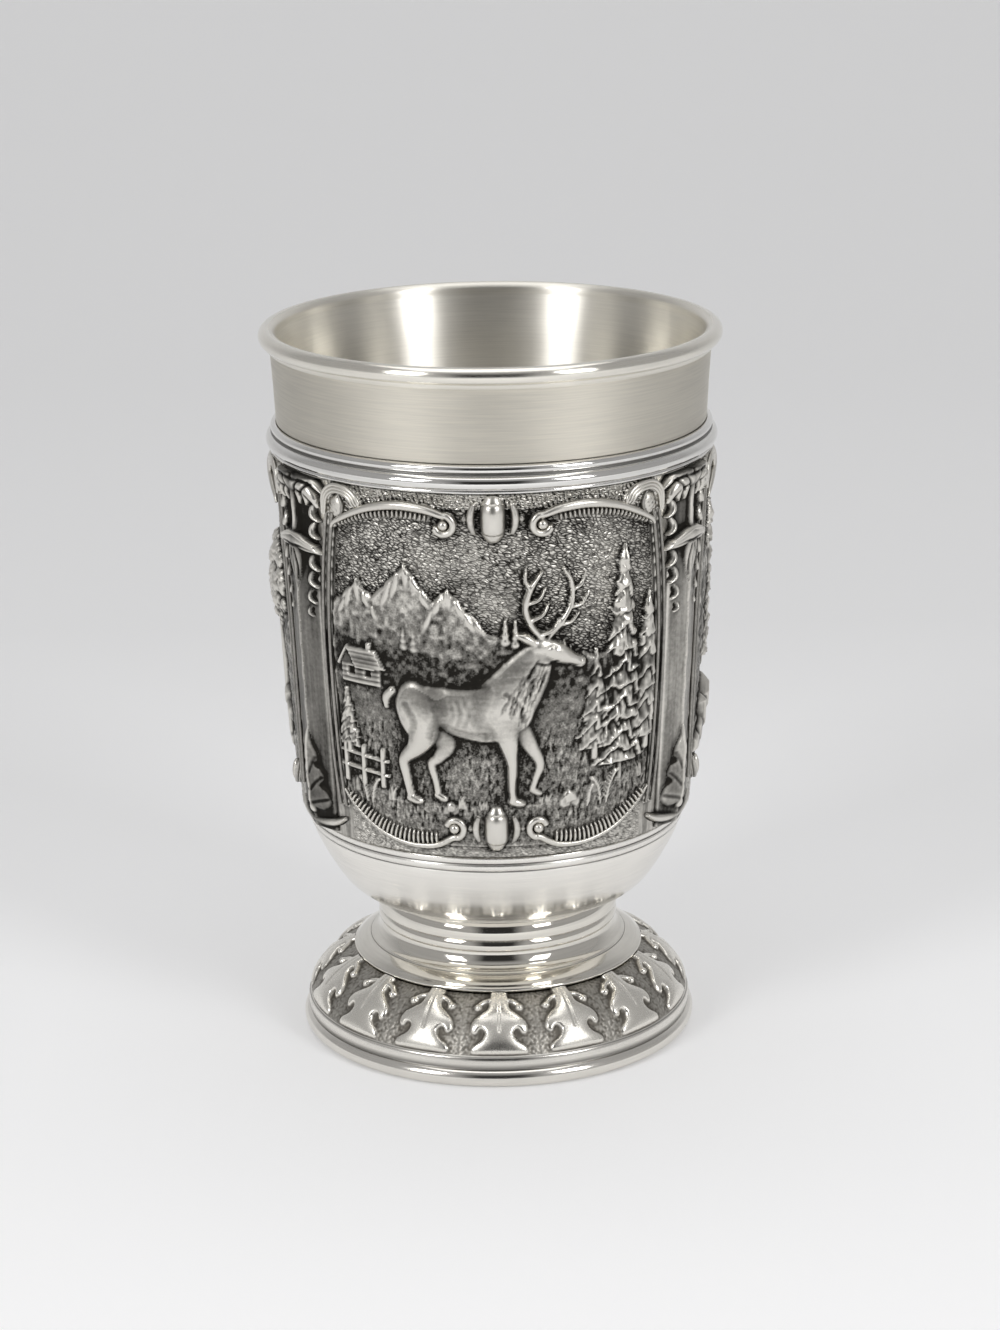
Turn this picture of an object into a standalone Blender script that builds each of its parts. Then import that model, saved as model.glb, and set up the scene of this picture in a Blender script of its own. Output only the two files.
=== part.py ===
"""A footed shot cup of cast and turned pewter, at its real size, in metres.

The cup is put together the way a pewterer solders one: a turned bowl whose wall
stands inside three cast relief plates, a lip ring that closes over the top of
wall and plates, a beaded collar over that joint, cast pilasters over the seams
between the plates, and a stem collar that carries the bowl on a cast foot.
The origin is on the table under the middle of the foot, +Z is up, and the
first relief plate faces -Y.
"""

import math

import bmesh
import bpy
from mathutils import Matrix

MM = 0.001

# Driving dimensions
CUP_HEIGHT = 70.0 * MM
RIM_RADIUS = 21.9 * MM
RIM_BEAD = 0.8 * MM
LIP_TOP = (20.85 * MM, 68.3 * MM)
LIP_BOTTOM = (20.45 * MM, 61.25 * MM)
SKIRT_RADIUS = 20.2 * MM

JACKET_TOP_Z = 58.3 * MM
JACKET_BOTTOM_Z = 23.25 * MM
JACKET_BOTTOM_RADIUS = 18.9 * MM
JACKET_SPREAD = 2.55 * MM
JACKET_BULGE = 0.9 * MM
PLATE_THICKNESS = 1.1 * MM
SEAM = 0.2 * MM

WALL_TOP_RADIUS = 19.35 * MM
WALL_TOP_Z = 60.6 * MM
WALL_THICKNESS = 0.7 * MM
FLOOR_Z = 15.5 * MM
UNDERSIDE_Z = 14.1 * MM
SPIGOT_RADIUS = 9.5 * MM
SPIGOT_BORE = 8.3 * MM
SPIGOT_Z = 11.9 * MM

STEM_BORE = 10.2 * MM
STEM_SHELF_Z = 12.9 * MM
FLANGE = (14.1 * MM, 8.1 * MM)
FOOT_SOCKET = 12.3 * MM
FOOT_TOP_Z = 7.5 * MM
FOOT_RIM = (18.45 * MM, 0.9 * MM)
FOOT_RIM_BEAD = 0.9 * MM
LEAF_BAND_BOTTOM = (18.6 * MM, 3.05 * MM)
LEAF_BAND_TOP = (14.0 * MM, FOOT_TOP_Z)
LEAF_BAND_BULGE = 0.62 * MM
LEAF_LIFT = 0.55 * MM

PANELS = ("front", "right", "left")
PILASTERS = ("right", "back", "left")
LEAF_COUNT = 15
TURNED_STEPS = 28

# The plates and pilasters are drawn flat, where this radius sets the arc per degree
FLAT_RADIUS = 20.0 * MM
PANEL_HALF_ANGLE = 59.6
RAIL_RADIUS = 0.6 * MM
SCROLL_RADIUS = 0.45 * MM
VOLUTE_RADIUS = 0.9 * MM
PILASTER_HALF_WIDTH = 2.6 * MM
SUNK = 0.04 * MM

BRIGHT = ((0.60, 0.59, 0.57), 0.24)
ANTIQUE = ((0.33, 0.33, 0.32), 0.42)
SOLDERED = ((0.50, 0.50, 0.49), 0.45)


# Objects, materials and joins

def pewter(name, finish):
    """The metal of one piece: its colour and roughness, bare and polished or darkened."""
    colour, roughness = finish
    material = bpy.data.materials.new(f"{name}_pewter")
    material.use_nodes = True
    shader = material.node_tree.nodes["Principled BSDF"]
    shader.inputs["Base Color"].default_value = (*colour, 1.0)
    shader.inputs["Roughness"].default_value = roughness
    shader.inputs["Metallic"].default_value = 1.0
    return material


def add_object(name, mesh):
    obj = bpy.data.objects.new(name, mesh)
    CUP.objects.link(obj)
    return obj


def evaluated_mesh(obj):
    """The object's mesh with its modifiers done and its loose caps welded."""
    graph = bpy.context.evaluated_depsgraph_get()
    mesh = bpy.data.meshes.new_from_object(obj.evaluated_get(graph))
    work = bmesh.new()
    work.from_mesh(mesh)
    bmesh.ops.remove_doubles(work, verts=work.verts, dist=0.002 * MM)
    work.to_mesh(mesh)
    work.free()
    return mesh


def solid(name, work):
    """An object from a worked mesh, which is freed."""
    mesh = bpy.data.meshes.new(name)
    work.to_mesh(mesh)
    work.free()
    return add_object(name, mesh)


def combined(base, pieces, operation="UNION"):
    """The base with every piece joined to it or cut from it; the pieces are used up."""
    for piece in pieces:
        join = base.modifiers.new("join", "BOOLEAN")
        join.operation = operation
        join.object = piece
    name = base.name
    mesh = evaluated_mesh(base)
    for used in [base, *pieces]:
        bpy.data.objects.remove(used)
    return add_object(name, mesh)


def wrapped(flat, place):
    """A flat piece bent to its place on the cup: place gives each point its new one."""
    work = bmesh.new()
    work.from_mesh(flat.data)
    bmesh.ops.triangulate(work, faces=work.faces)
    for vert in work.verts:
        vert.co = place(*vert.co)
    mesh = bpy.data.meshes.new(flat.name)
    work.to_mesh(mesh)
    work.free()
    bpy.data.objects.remove(flat)
    mesh.shade_smooth()
    mesh.set_sharp_from_angle(angle=math.radians(22))
    return mesh


# Outlines

def arc(centre, radius, start, end, steps):
    """Points of a round stretch, from one angle to another in degrees."""
    angles = [math.radians(start + (end - start) * i / steps) for i in range(steps + 1)]
    return [(centre[0] + radius * math.cos(a), centre[1] + radius * math.sin(a)) for a in angles]


def smooth(points, steps):
    """A smooth curve through a few points, with so many steps between each two."""
    ends = [points[0], *points, points[-1]]
    curve = []
    for p, q, r, s in zip(ends, ends[1:], ends[2:], ends[3:]):
        for i in range(steps):
            t = i / steps
            weights = (
                (-t + 2 * t**2 - t**3) / 2, (2 - 5 * t**2 + 3 * t**3) / 2,
                (t + 4 * t**2 - 3 * t**3) / 2, (-t**2 + t**3) / 2,
            )
            curve.append(tuple(
                sum(w * value for w, value in zip(weights, values)) for values in zip(p, q, r, s)
            ))
    return [*curve, points[-1]]


def jacket_radius(z):
    """Outside radius of the plain ground of the relief plates at a height."""
    t = (z - JACKET_BOTTOM_Z) / (JACKET_TOP_Z - JACKET_BOTTOM_Z)
    return JACKET_BOTTOM_RADIUS + JACKET_SPREAD * t - JACKET_BULGE * t**2


def jacket_line(inset, steps=3):
    """The jacket's meridian set in by some depth, from its top edge down."""
    drop = (JACKET_TOP_Z - JACKET_BOTTOM_Z) / steps
    heights = [JACKET_TOP_Z - drop * i for i in range(steps + 1)]
    return [(jacket_radius(z) - inset, z) for z in heights]


def turned(name, profile, finish, closed=True):
    """A turned piece: a profile of (radius, height) that runs down its outer side."""
    work = bmesh.new()
    points = [work.verts.new((radius, 0.0, z)) for radius, z in profile]
    if closed:
        points.append(points[0])
    for a, b in zip(points, points[1:]):
        work.edges.new((a, b))
    obj = solid(name, work)
    lathe = obj.modifiers.new("lathe", "SCREW")
    lathe.steps = TURNED_STEPS
    lathe.render_steps = TURNED_STEPS
    lathe.use_merge_vertices = True
    lathe.merge_threshold = 0.01 * MM
    obj.data.materials.append(pewter(name, finish))
    return obj


# Lip, collar and bowl

def make_lip_ring():
    """Flared drinking lip with a rolled rim, and a skirt over the top of the bowl's wall."""
    bead = (RIM_RADIUS - RIM_BEAD, CUP_HEIGHT - RIM_BEAD)
    seat_z = WALL_TOP_Z + SEAM
    skirt_z = JACKET_TOP_Z + 2 * SEAM
    skirt_bore = WALL_TOP_RADIUS + SEAM
    inside = [(WALL_TOP_RADIUS - WALL_THICKNESS, seat_z), (19.4 * MM, 65.0 * MM)]
    rim = arc(bead, RIM_BEAD, 180, -90, 6)
    skirt = [
        (SKIRT_RADIUS, LIP_BOTTOM[1]), (SKIRT_RADIUS, skirt_z), (skirt_bore, skirt_z), (skirt_bore, seat_z),
    ]
    turned("lip_ring", [*inside, *rim, LIP_TOP, LIP_BOTTOM, *skirt], BRIGHT)


def make_bead_collar():
    """Two half-round beads in one ring, over the joint of lip and jacket."""
    bore = SKIRT_RADIUS + SEAM
    top = LIP_BOTTOM[1] - SEAM
    bottom = JACKET_TOP_Z + SEAM
    fine = 0.5 * MM
    broad = (top - bottom) / 2 - fine
    upper = arc((20.55 * MM, top - fine), fine, 90, -80, 4)
    lower = arc((20.75 * MM, bottom + broad), broad, 80, -90, 5)
    turned("bead_collar", [(bore, bottom), (bore, top), *upper, *lower], BRIGHT)


def make_bowl():
    """The vessel: floor, wall, the shoulder that carries the plates, the round belly and a spigot."""
    depth = PLATE_THICKNESS + SEAM
    shoulder_z = JACKET_BOTTOM_Z - 1.5 * SEAM
    inside = [
        *smooth([(0.0, FLOOR_Z), (9.0 * MM, 15.8 * MM), (14.5 * MM, 18.5 * MM)], 2),
        *reversed(jacket_line(depth + WALL_THICKNESS)),
        (WALL_TOP_RADIUS - WALL_THICKNESS, WALL_TOP_Z),
    ]
    wall_foot = (jacket_radius(JACKET_BOTTOM_Z) - depth, shoulder_z)
    outside = [(WALL_TOP_RADIUS, WALL_TOP_Z), *jacket_line(depth), wall_foot]
    waist = [(17.85 * MM, 20.6 * MM), (16.5 * MM, 18.0 * MM), (14.6 * MM, 15.3 * MM)]
    belly = smooth([(18.45 * MM, shoulder_z), *waist, (12.0 * MM, UNDERSIDE_Z)], 2)
    spigot = [
        (SPIGOT_RADIUS, UNDERSIDE_Z), (SPIGOT_RADIUS, SPIGOT_Z),
        (SPIGOT_BORE, SPIGOT_Z), (SPIGOT_BORE, UNDERSIDE_Z), (0.0, UNDERSIDE_Z),
    ]
    turned("bowl", [*inside, *outside, *belly, *spigot], BRIGHT, closed=False)


# Relief plates and pilasters, drawn flat and then bent round the jacket

def arc_length(degrees):
    return math.radians(degrees) * FLAT_RADIUS


def on_jacket(x, y, z):
    """The place on the jacket of a flat point: x runs round it, -y stands out from it."""
    radius = jacket_radius(z) - y
    angle = x / FLAT_RADIUS
    return radius * math.sin(angle), -radius * math.cos(angle), z


def flat_box(name, half_width, bottom, top, back, front, columns, rows):
    """A slab in flat drawing, cut into columns and rows so that it can bend."""
    work = bmesh.new()
    bmesh.ops.create_grid(work, x_segments=columns, y_segments=rows, size=0.5)
    height = top - bottom
    for vert in work.verts:
        vert.co = (vert.co.x * 2 * half_width, front, bottom + (vert.co.y + 0.5) * height)
    slab = solid(name, work)
    wall = slab.modifiers.new("thickness", "SOLIDIFY")
    wall.thickness = back - front
    wall.offset = -1.0
    return slab


def rod(points, radius, lift=0.0):
    """A round moulding on the flat ground, along (x, z) points, with closed ends."""
    curve = bpy.data.curves.new("rod", "CURVE")
    curve.dimensions = "3D"
    curve.bevel_depth = radius
    curve.bevel_resolution = 1
    curve.use_fill_caps = True
    spline = curve.splines.new("POLY")
    spline.points.add(len(points) - 1)
    for point, (x, z) in zip(spline.points, points):
        point.co = (x, -lift, z, 1.0)
    guide = add_object("rod", curve)
    tube = add_object("rod", evaluated_mesh(guide))
    bpy.data.objects.remove(guide)
    return tube


def boss(x, z, half_width, height, half_length, segments=8, rings=6, tilt=0.0, lift=-SUNK):
    """A round boss on the flat ground, just over half sunk; tilt leans its top to the right in degrees."""
    work = bmesh.new()
    size = Matrix.Diagonal((half_width, height, half_length, 1.0))
    place = Matrix.Translation((x, -lift, z)) @ Matrix.Rotation(math.radians(tilt), 4, "Y") @ size
    bmesh.ops.create_uvsphere(work, u_segments=segments, v_segments=rings, radius=1.0, matrix=place)
    return solid("boss", work)


def upright(stations, sides=6):
    """An upright form, just over half sunk, by stations of (x, z, half width, height) from its foot up."""
    work = bmesh.new()
    rings = []
    turns = [2 * math.pi * (i + 0.5) / sides for i in range(sides)]
    for x, z, half_width, height in stations:
        spots = [(x + half_width * math.sin(turn), SUNK - height * math.cos(turn), z) for turn in turns]
        rings.append([work.verts.new(spot) for spot in spots])
    for low, high in zip(rings, rings[1:]):
        for i in range(sides):
            work.faces.new((low[i], low[i - 1], high[i - 1], high[i]))
    for cap in (rings[0], rings[-1]):
        work.faces.new(cap)
    bmesh.ops.recalc_face_normals(work, faces=work.faces)
    return solid("upright", work)


def scroll(side, start, eye, turn_from, turn_to):
    """A scroll of the frame: a bowed moulding that curls round a ball at its end."""
    centre = (side * arc_length(eye[0]), eye[1])
    run = smooth([(side * arc_length(degrees), z) for degrees, z in start], 2)
    curl = arc((0.0, 0.0), VOLUTE_RADIUS, turn_from, turn_to, 5)
    curl = [(centre[0] + side * x, centre[1] + z) for x, z in curl]
    ball = boss(*centre, 0.42 * MM, 0.7 * MM, 0.42 * MM, 6, 3)
    return [rod([*run, *curl], SCROLL_RADIUS, 0.15 * MM), ball]


def clasp(z):
    """A barrel-shaped clasp between two scrolls, with a narrow bar on either side."""
    pieces = [boss(0.0, z, 1.0 * MM, 1.0 * MM, 2.0 * MM, 8, 5)]
    for side in (-1, 1):
        pieces.append(boss(side * 1.6 * MM, z, 0.4 * MM, 0.7 * MM, 1.4 * MM, 6, 3))
    return pieces


def rail_head(side):
    """The volute at the top of a rail, with a tongue that reaches along the plate's edge."""
    tongue = ((44.0, 57.3), (40.0, 57.6), (35.6, 57.3))
    return [
        boss(side * arc_length(44.2), 56.1 * MM, 1.45 * MM, 0.85 * MM, 1.45 * MM, 8, 4),
        rod([(side * arc_length(degrees), z * MM) for degrees, z in tongue], 0.5 * MM, 0.1 * MM),
    ]


def frame():
    """The frame round a plate's field: rails with their heads, scrolls and clasps."""
    rail_line = ((46.2, 54.8), (48.3, 49.5), (49.5, 43.7), (49.4, 35.0), (47.4, 26.6))
    top_scroll = ((44.0, 54.4), (32.0, 56.7), (17.5, 56.95))
    bottom_scroll = ((44.0, 27.6), (31.0, 24.75), (17.0, 24.4))
    pieces = [*clasp(55.9 * MM), *clasp(26.0 * MM)]
    for side in (-1, 1):
        rail = [(side * arc_length(degrees), z * MM) for degrees, z in rail_line]
        pieces += [rod(rail, RAIL_RADIUS), *rail_head(side)]
        top = [(degrees, z * MM) for degrees, z in top_scroll]
        pieces += scroll(side, top, (12.4, 55.5 * MM), 75, 320)
        bottom = [(degrees, z * MM) for degrees, z in bottom_scroll]
        pieces += scroll(side, bottom, (11.5, 26.2 * MM), 285, 40)
    return pieces


def fir(x, foot, top, half_width, height):
    """A fir in three tiers, from its lowest boughs up, in millimetres."""
    shape = (
        (0.0, 0.14, 0.4), (0.06, 0.14, 0.4), (0.07, 1.0, 1.0), (0.40, 0.42, 0.7), (0.41, 0.76, 0.95),
        (0.70, 0.26, 0.6), (0.71, 0.50, 0.85), (1.0, 0.04, 0.2),
    )
    stations = []
    for up, wide, out in shape:
        stations.append((x * MM, (foot + up * (top - foot)) * MM, wide * half_width * MM, out * height * MM))
    return upright(stations)


def stag(shift):
    """A stag that steps to the right: trunk, neck, head, four legs and two antlers."""
    rounds = (
        (-3.2, 37.8, 6.0, 0.95, 2.4, 8, 5, 0), (2.1, 40.4, 2.0, 0.95, 4.2, 8, 5, 34),
        (5.9, 43.0, 0.95, 0.9, 2.4, 6, 4, 110),
    )
    legs = (
        ((1.6, 28.8, 0.5, 0.5), (1.5, 31.8, 0.55, 0.6), (1.1, 35.0, 1.1, 0.75), (0.8, 38.0, 1.6, 0.85)),
        ((-8.2, 28.8, 0.5, 0.5), (-8.7, 32.6, 0.7, 0.65), (-7.1, 35.4, 1.7, 0.9), (-7.4, 39.4, 1.6, 0.8)),
        ((3.8, 29.6, 0.45, 0.4), (4.1, 32.5, 0.5, 0.45), (2.4, 35.9, 1.1, 0.5)),
        ((-5.4, 29.1, 0.45, 0.4), (-6.0, 32.4, 0.5, 0.45), (-4.8, 36.2, 1.2, 0.5)),
    )
    antlers = (
        ((4.3, 44.3), (3.0, 46.4), (2.9, 48.6), (4.0, 50.8)),
        ((4.9, 44.3), (6.8, 47.2), (7.0, 49.4), (6.4, 51.0)),
    )
    pieces = []
    for x, z, half_width, height, half_length, segments, rings, tilt in rounds:
        size = (half_width * MM, height * MM, half_length * MM)
        pieces.append(boss((x + shift) * MM, z * MM, *size, segments, rings, tilt))
    for leg in legs:
        pieces.append(upright([((x + shift) * MM, z * MM, wide * MM, out * MM) for x, z, wide, out in leg]))
    for beam in antlers:
        pieces.append(rod([((x + shift) * MM, z * MM) for x, z in beam], 0.3 * MM, 0.15 * MM))
    return pieces


def hut(x, z):
    """A log hut under a hipped roof, in millimetres."""
    shape = ((0.0, 3.2, 0.75), (1.7, 3.2, 0.75), (1.75, 4.0, 1.0), (3.5, 2.4, 0.6))
    return upright([(x * MM, (z + up) * MM, wide * MM, out * MM) for up, wide, out in shape], 4)


def stones(places):
    """Boulders at places of (x, z, half width, height, half length), in millimetres."""
    return [boss(*(value * MM for value in place), 6, 4) for place in places]


def old_tree(x, foot, z):
    """A broad old tree: a trunk under a crown of three leaf clumps, in millimetres."""
    pieces = [upright([(x * MM, foot * MM, 1.0 * MM, 0.75 * MM), (x * MM, z * MM, 0.6 * MM, 0.55 * MM)])]
    for across, up in ((-1.9, -1.0), (1.9, -0.8), (0.0, 1.7)):
        size = (2.9 * MM, 1.0 * MM, 2.9 * MM)
        pieces.append(boss((x + across) * MM, (z + up) * MM, *size, 8, 4, 0.0, 0.25 * MM))
    return pieces


def front_picture():
    """A stag in front of firs, with a hut behind it."""
    return [*stag(0.0), fir(12.5, 30.0, 52.6, 3.6, 0.85), hut(-13.0, 39.4)]


def right_picture():
    """A stag by boulders, between two firs."""
    bank = stones(((-10.6, 32.4, 3.6, 1.0, 2.5), (-8.0, 29.6, 2.4, 0.9, 1.5), (-13.2, 29.7, 2.6, 0.9, 1.7)))
    return [*stag(3.0), fir(-11.2, 36.5, 52.8, 3.2, 0.9), fir(13.0, 31.0, 49.5, 3.2, 0.85), *bank]


def left_picture():
    """An old tree by boulders, a hut in the middle and a fir."""
    bank = stones(((10.6, 33.0, 2.7, 0.95, 1.8), (9.6, 29.4, 2.0, 0.8, 1.3)))
    return [*old_tree(10.2, 30.0, 45.4), *bank, hut(-2.0, 37.4), fir(-11.5, 31.0, 50.5, 3.4, 0.9)]


def make_relief_panels():
    """Three cast plates, each with a picture in low relief inside a frame of rails, scrolls and clasps."""
    half_width = arc_length(PANEL_HALF_ANGLE)
    pictures = (front_picture, right_picture, left_picture)
    for i, (side, picture) in enumerate(zip(PANELS, pictures)):
        name = f"relief_panel_{side}"
        edges = (half_width, JACKET_BOTTOM_Z, JACKET_TOP_Z, PLATE_THICKNESS, 0.0)
        plate = flat_box(name, *edges, columns=15, rows=3)
        mesh = wrapped(combined(plate, [*frame(), *picture()]), on_jacket)
        mesh.materials.append(pewter(name, ANTIQUE))
        panel = add_object(name, mesh)
        panel.rotation_euler.z = math.radians(120.0 * i)


def make_pilasters():
    """Ridged pilaster mounts over the seams, with a leaf capital, husks and a leaf at the foot."""
    edge = 0.4 * MM
    ridge = 1.1 * MM
    strip = flat_box(
        "pilaster", PILASTER_HALF_WIDTH, 24.2 * MM, 57.4 * MM, 0.0, -edge, columns=4, rows=8
    )
    for vert in strip.data.vertices:
        vert.co.y = -ridge + (ridge - edge) * abs(vert.co.x) / PILASTER_HALF_WIDTH
    strip.modifiers["thickness"].thickness = ridge + 1.0 * MM
    pieces = [
        boss(0.0, 57.1 * MM, 3.7 * MM, 1.3 * MM, 0.95 * MM),
        boss(0.0, 51.7 * MM, 3.3 * MM, 1.4 * MM, 0.75 * MM),
        boss(0.0, 29.2 * MM, 1.1 * MM, 1.5 * MM, 4.0 * MM, 6, 4),
        boss(0.0, 24.8 * MM, 3.2 * MM, 1.3 * MM, 0.75 * MM),
    ]
    husks = ((2.75, 54.9, 0.9), (2.6, 53.2, 0.8), (2.3, 49.9, 0.9), (1.9, 48.2, 0.8))
    for side in (-1, 1):
        pieces.append(boss(side * 1.9 * MM, 28.0 * MM, 0.8 * MM, 1.1 * MM, 3.1 * MM, 6, 3, side * -18.0))
        for x, z, half_length in husks:
            pieces.append(boss(side * x * MM, z * MM, 0.6 * MM, 0.9 * MM, half_length * MM, 6, 3))
    back = flat_box("back", 10.0 * MM, 20.0 * MM, 62.0 * MM, 6.0 * MM, -SEAM, columns=1, rows=1)
    mesh = wrapped(combined(combined(strip, pieces), [back], "DIFFERENCE"), on_jacket)
    mesh.materials.append(pewter("pilaster", ANTIQUE))
    for i, name in enumerate(PILASTERS):
        pilaster = add_object(f"pilaster_{name}", mesh)
        pilaster.rotation_euler.z = math.radians(60.0 + 120.0 * i)


# Stem and foot

def make_stem_collar():
    """Stepped neck under the bowl, swept out to a flange, with a skirt that sits in the foot."""
    top_z = UNDERSIDE_Z - SEAM - 0.1 * MM
    skirt_radius = FOOT_SOCKET - SEAM
    flange_z = FOOT_TOP_Z + SEAM
    skirt_z = 6.2 * MM
    rings = [
        *arc((9.72 * MM, 12.46 * MM), 2.1 * MM, 37, -12, 2), (11.55 * MM, 11.98 * MM),
        *arc((10.66 * MM, 11.3 * MM), 1.1 * MM, 36, -24, 2), (11.4 * MM, 10.76 * MM),
    ]
    cove = arc((13.08 * MM, 10.79 * MM), 1.75 * MM, 186, 250, 3)
    sweep = [(12.72 * MM, 8.95 * MM), (13.5 * MM, 8.58 * MM), FLANGE]
    bore = SPIGOT_RADIUS + SEAM + 0.05 * MM
    socket = [
        (FLANGE[0], flange_z), (skirt_radius, flange_z), (skirt_radius, skirt_z),
        (STEM_BORE, skirt_z), (STEM_BORE, STEM_SHELF_Z), (bore, STEM_SHELF_Z), (bore, top_z),
    ]
    turned("stem_collar", [(10.8 * MM, top_z), *rings, *cove, *sweep, *socket], BRIGHT)


def make_solder_fillet():
    """The ring of solder that holds the spigot under the shelf of the stem collar."""
    inner = SPIGOT_RADIUS + 0.1 * MM
    top_z = STEM_SHELF_Z - 0.1 * MM
    profile = [(inner, top_z), (STEM_BORE - 0.1 * MM, top_z), (inner, SPIGOT_Z + 0.1 * MM)]
    turned("solder_fillet", profile, SOLDERED)


def leaf_band_point(s, lift):
    """A point on the foot's leaf band: s runs up it from 0 to 1, lift stands out from it."""
    (r0, z0), (r1, z1) = LEAF_BAND_BOTTOM, LEAF_BAND_TOP
    run, rise = r1 - r0, z1 - z0
    length = math.hypot(run, rise)
    out = LEAF_BAND_BULGE * 4 * s * (1 - s) + lift
    return r0 + run * s + rise / length * out, z0 + rise * s - run / length * out


def on_leaf_band(angle):
    """The bend that lays a flat leaf on the foot at an angle: x across it, z along it."""
    def place(x, y, s):
        radius, z = leaf_band_point(s, -y)
        turn = angle + x / radius
        return radius * math.sin(turn), -radius * math.cos(turn), z
    return place


def flat_leaf():
    """An upright leaf, bell-shaped below and lobed above, with its midrib raised."""
    bell = ((0.02, 2.35), (0.13, 2.2), (0.38, 1.15))
    lobes = ((0.47, 2.4), (0.66, 1.4), (0.74, 1.95))
    outline = (*bell, *lobes, (0.98, 1.25))
    sunk = 0.25 * MM
    edge = 0.8 * LEAF_LIFT
    work = bmesh.new()
    bmesh.ops.create_grid(work, x_segments=2, y_segments=len(outline) - 1, size=0.5)
    for vert in work.verts:
        row = round((vert.co.y + 0.5) * (len(outline) - 1))
        s, half_width = outline[row]
        across = vert.co.x * 2
        vert.co = (across * half_width * MM, -LEAF_LIFT + abs(across) * (LEAF_LIFT - edge), s)
    top = work.faces[:]
    raised = bmesh.ops.extrude_face_region(work, geom=top, use_keep_orig=True)
    for vert in raised["geom"]:
        if isinstance(vert, bmesh.types.BMVert):
            vert.co.y = sunk
    bmesh.ops.recalc_face_normals(work, faces=work.faces)
    return solid("leaf", work)


def make_foot_ring():
    """Cast foot, hollow below: a rolled rim, a fillet and a convex band of upright leaves."""
    band = [leaf_band_point(1 - i / 3, 0.0) for i in range(4)]
    fillet = [(18.8 * MM, 2.9 * MM), (18.9 * MM, 1.75 * MM)]
    rim = arc(FOOT_RIM, FOOT_RIM_BEAD, 40, -90, 4)
    inside = [
        (17.5 * MM, 0.0), (17.2 * MM, 1.8 * MM), (15.6 * MM, 4.4 * MM), (FOOT_SOCKET, 5.9 * MM),
        (FOOT_SOCKET, FOOT_TOP_Z),
    ]
    ring = turned("foot_ring", [*band, *fillet, *rim, *inside], ANTIQUE)
    leaves = []
    for i in range(LEAF_COUNT):
        angle = math.radians(360.0 * i / LEAF_COUNT)
        leaves.append(add_object("leaf", wrapped(flat_leaf(), on_leaf_band(angle))))
    combined(ring, leaves)


for old in list(bpy.data.objects):
    bpy.data.objects.remove(old)
CUP = bpy.data.collections.new("shot_cup")
bpy.context.scene.collection.children.link(CUP)

make_lip_ring()
make_bead_collar()
make_bowl()
make_relief_panels()
make_pilasters()
make_stem_collar()
make_solder_fillet()
make_foot_ring()
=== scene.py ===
import math

import bpy
import numpy as np
from mathutils import Matrix, Vector


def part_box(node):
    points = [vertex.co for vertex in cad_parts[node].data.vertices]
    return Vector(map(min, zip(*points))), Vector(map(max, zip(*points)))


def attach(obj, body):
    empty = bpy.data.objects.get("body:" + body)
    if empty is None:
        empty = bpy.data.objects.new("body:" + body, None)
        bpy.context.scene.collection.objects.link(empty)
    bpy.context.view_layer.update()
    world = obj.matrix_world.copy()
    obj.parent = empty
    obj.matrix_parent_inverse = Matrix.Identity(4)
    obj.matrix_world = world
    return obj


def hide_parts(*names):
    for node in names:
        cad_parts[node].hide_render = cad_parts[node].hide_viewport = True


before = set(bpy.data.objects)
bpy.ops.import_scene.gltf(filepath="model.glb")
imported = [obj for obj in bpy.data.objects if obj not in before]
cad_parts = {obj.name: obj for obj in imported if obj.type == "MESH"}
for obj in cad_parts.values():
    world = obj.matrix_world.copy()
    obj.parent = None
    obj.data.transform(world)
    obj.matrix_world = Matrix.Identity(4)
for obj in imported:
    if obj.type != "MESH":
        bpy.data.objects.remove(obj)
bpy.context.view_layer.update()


# Studio
# A pale table that rises into a backdrop, painted grey towards the backdrop's top and a little at the
# sides near the cup (painted shade), and glowing faintly to fill the shadows (painted light). Two soft
# lamps beside the lens and a broad one overhead. The camera looks down on the cup from about the
# height of a seated eye.

MM = 0.001
CAMERA_PLACE = Vector((0.0, -316.57, 131.86)) * MM
CAMERA_PITCH = 16.816
CAMERA_ROLL = -0.73
CAMERA_LENS, CAMERA_SENSOR = 92.14, 36.0
CAMERA_SHIFT = 0.0041


def linked(name, data):
    """A new object round its data, in the scene."""
    made = bpy.data.objects.new(name, data)
    bpy.context.collection.objects.link(made)
    return made


camera_data = bpy.data.cameras.new("camera")
camera_data.lens = CAMERA_LENS
camera_data.sensor_width = CAMERA_SENSOR
camera_data.shift_x = CAMERA_SHIFT
camera = linked("camera", camera_data)
tilt = Matrix.Rotation(math.radians(90.0 - CAMERA_PITCH), 4, "X")
roll = Matrix.Rotation(math.radians(CAMERA_ROLL), 4, "Z")
camera.matrix_world = Matrix.Translation(CAMERA_PLACE) @ tilt @ roll
bpy.context.scene.camera = camera
bpy.context.scene.view_settings.view_transform = "Standard"


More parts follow.
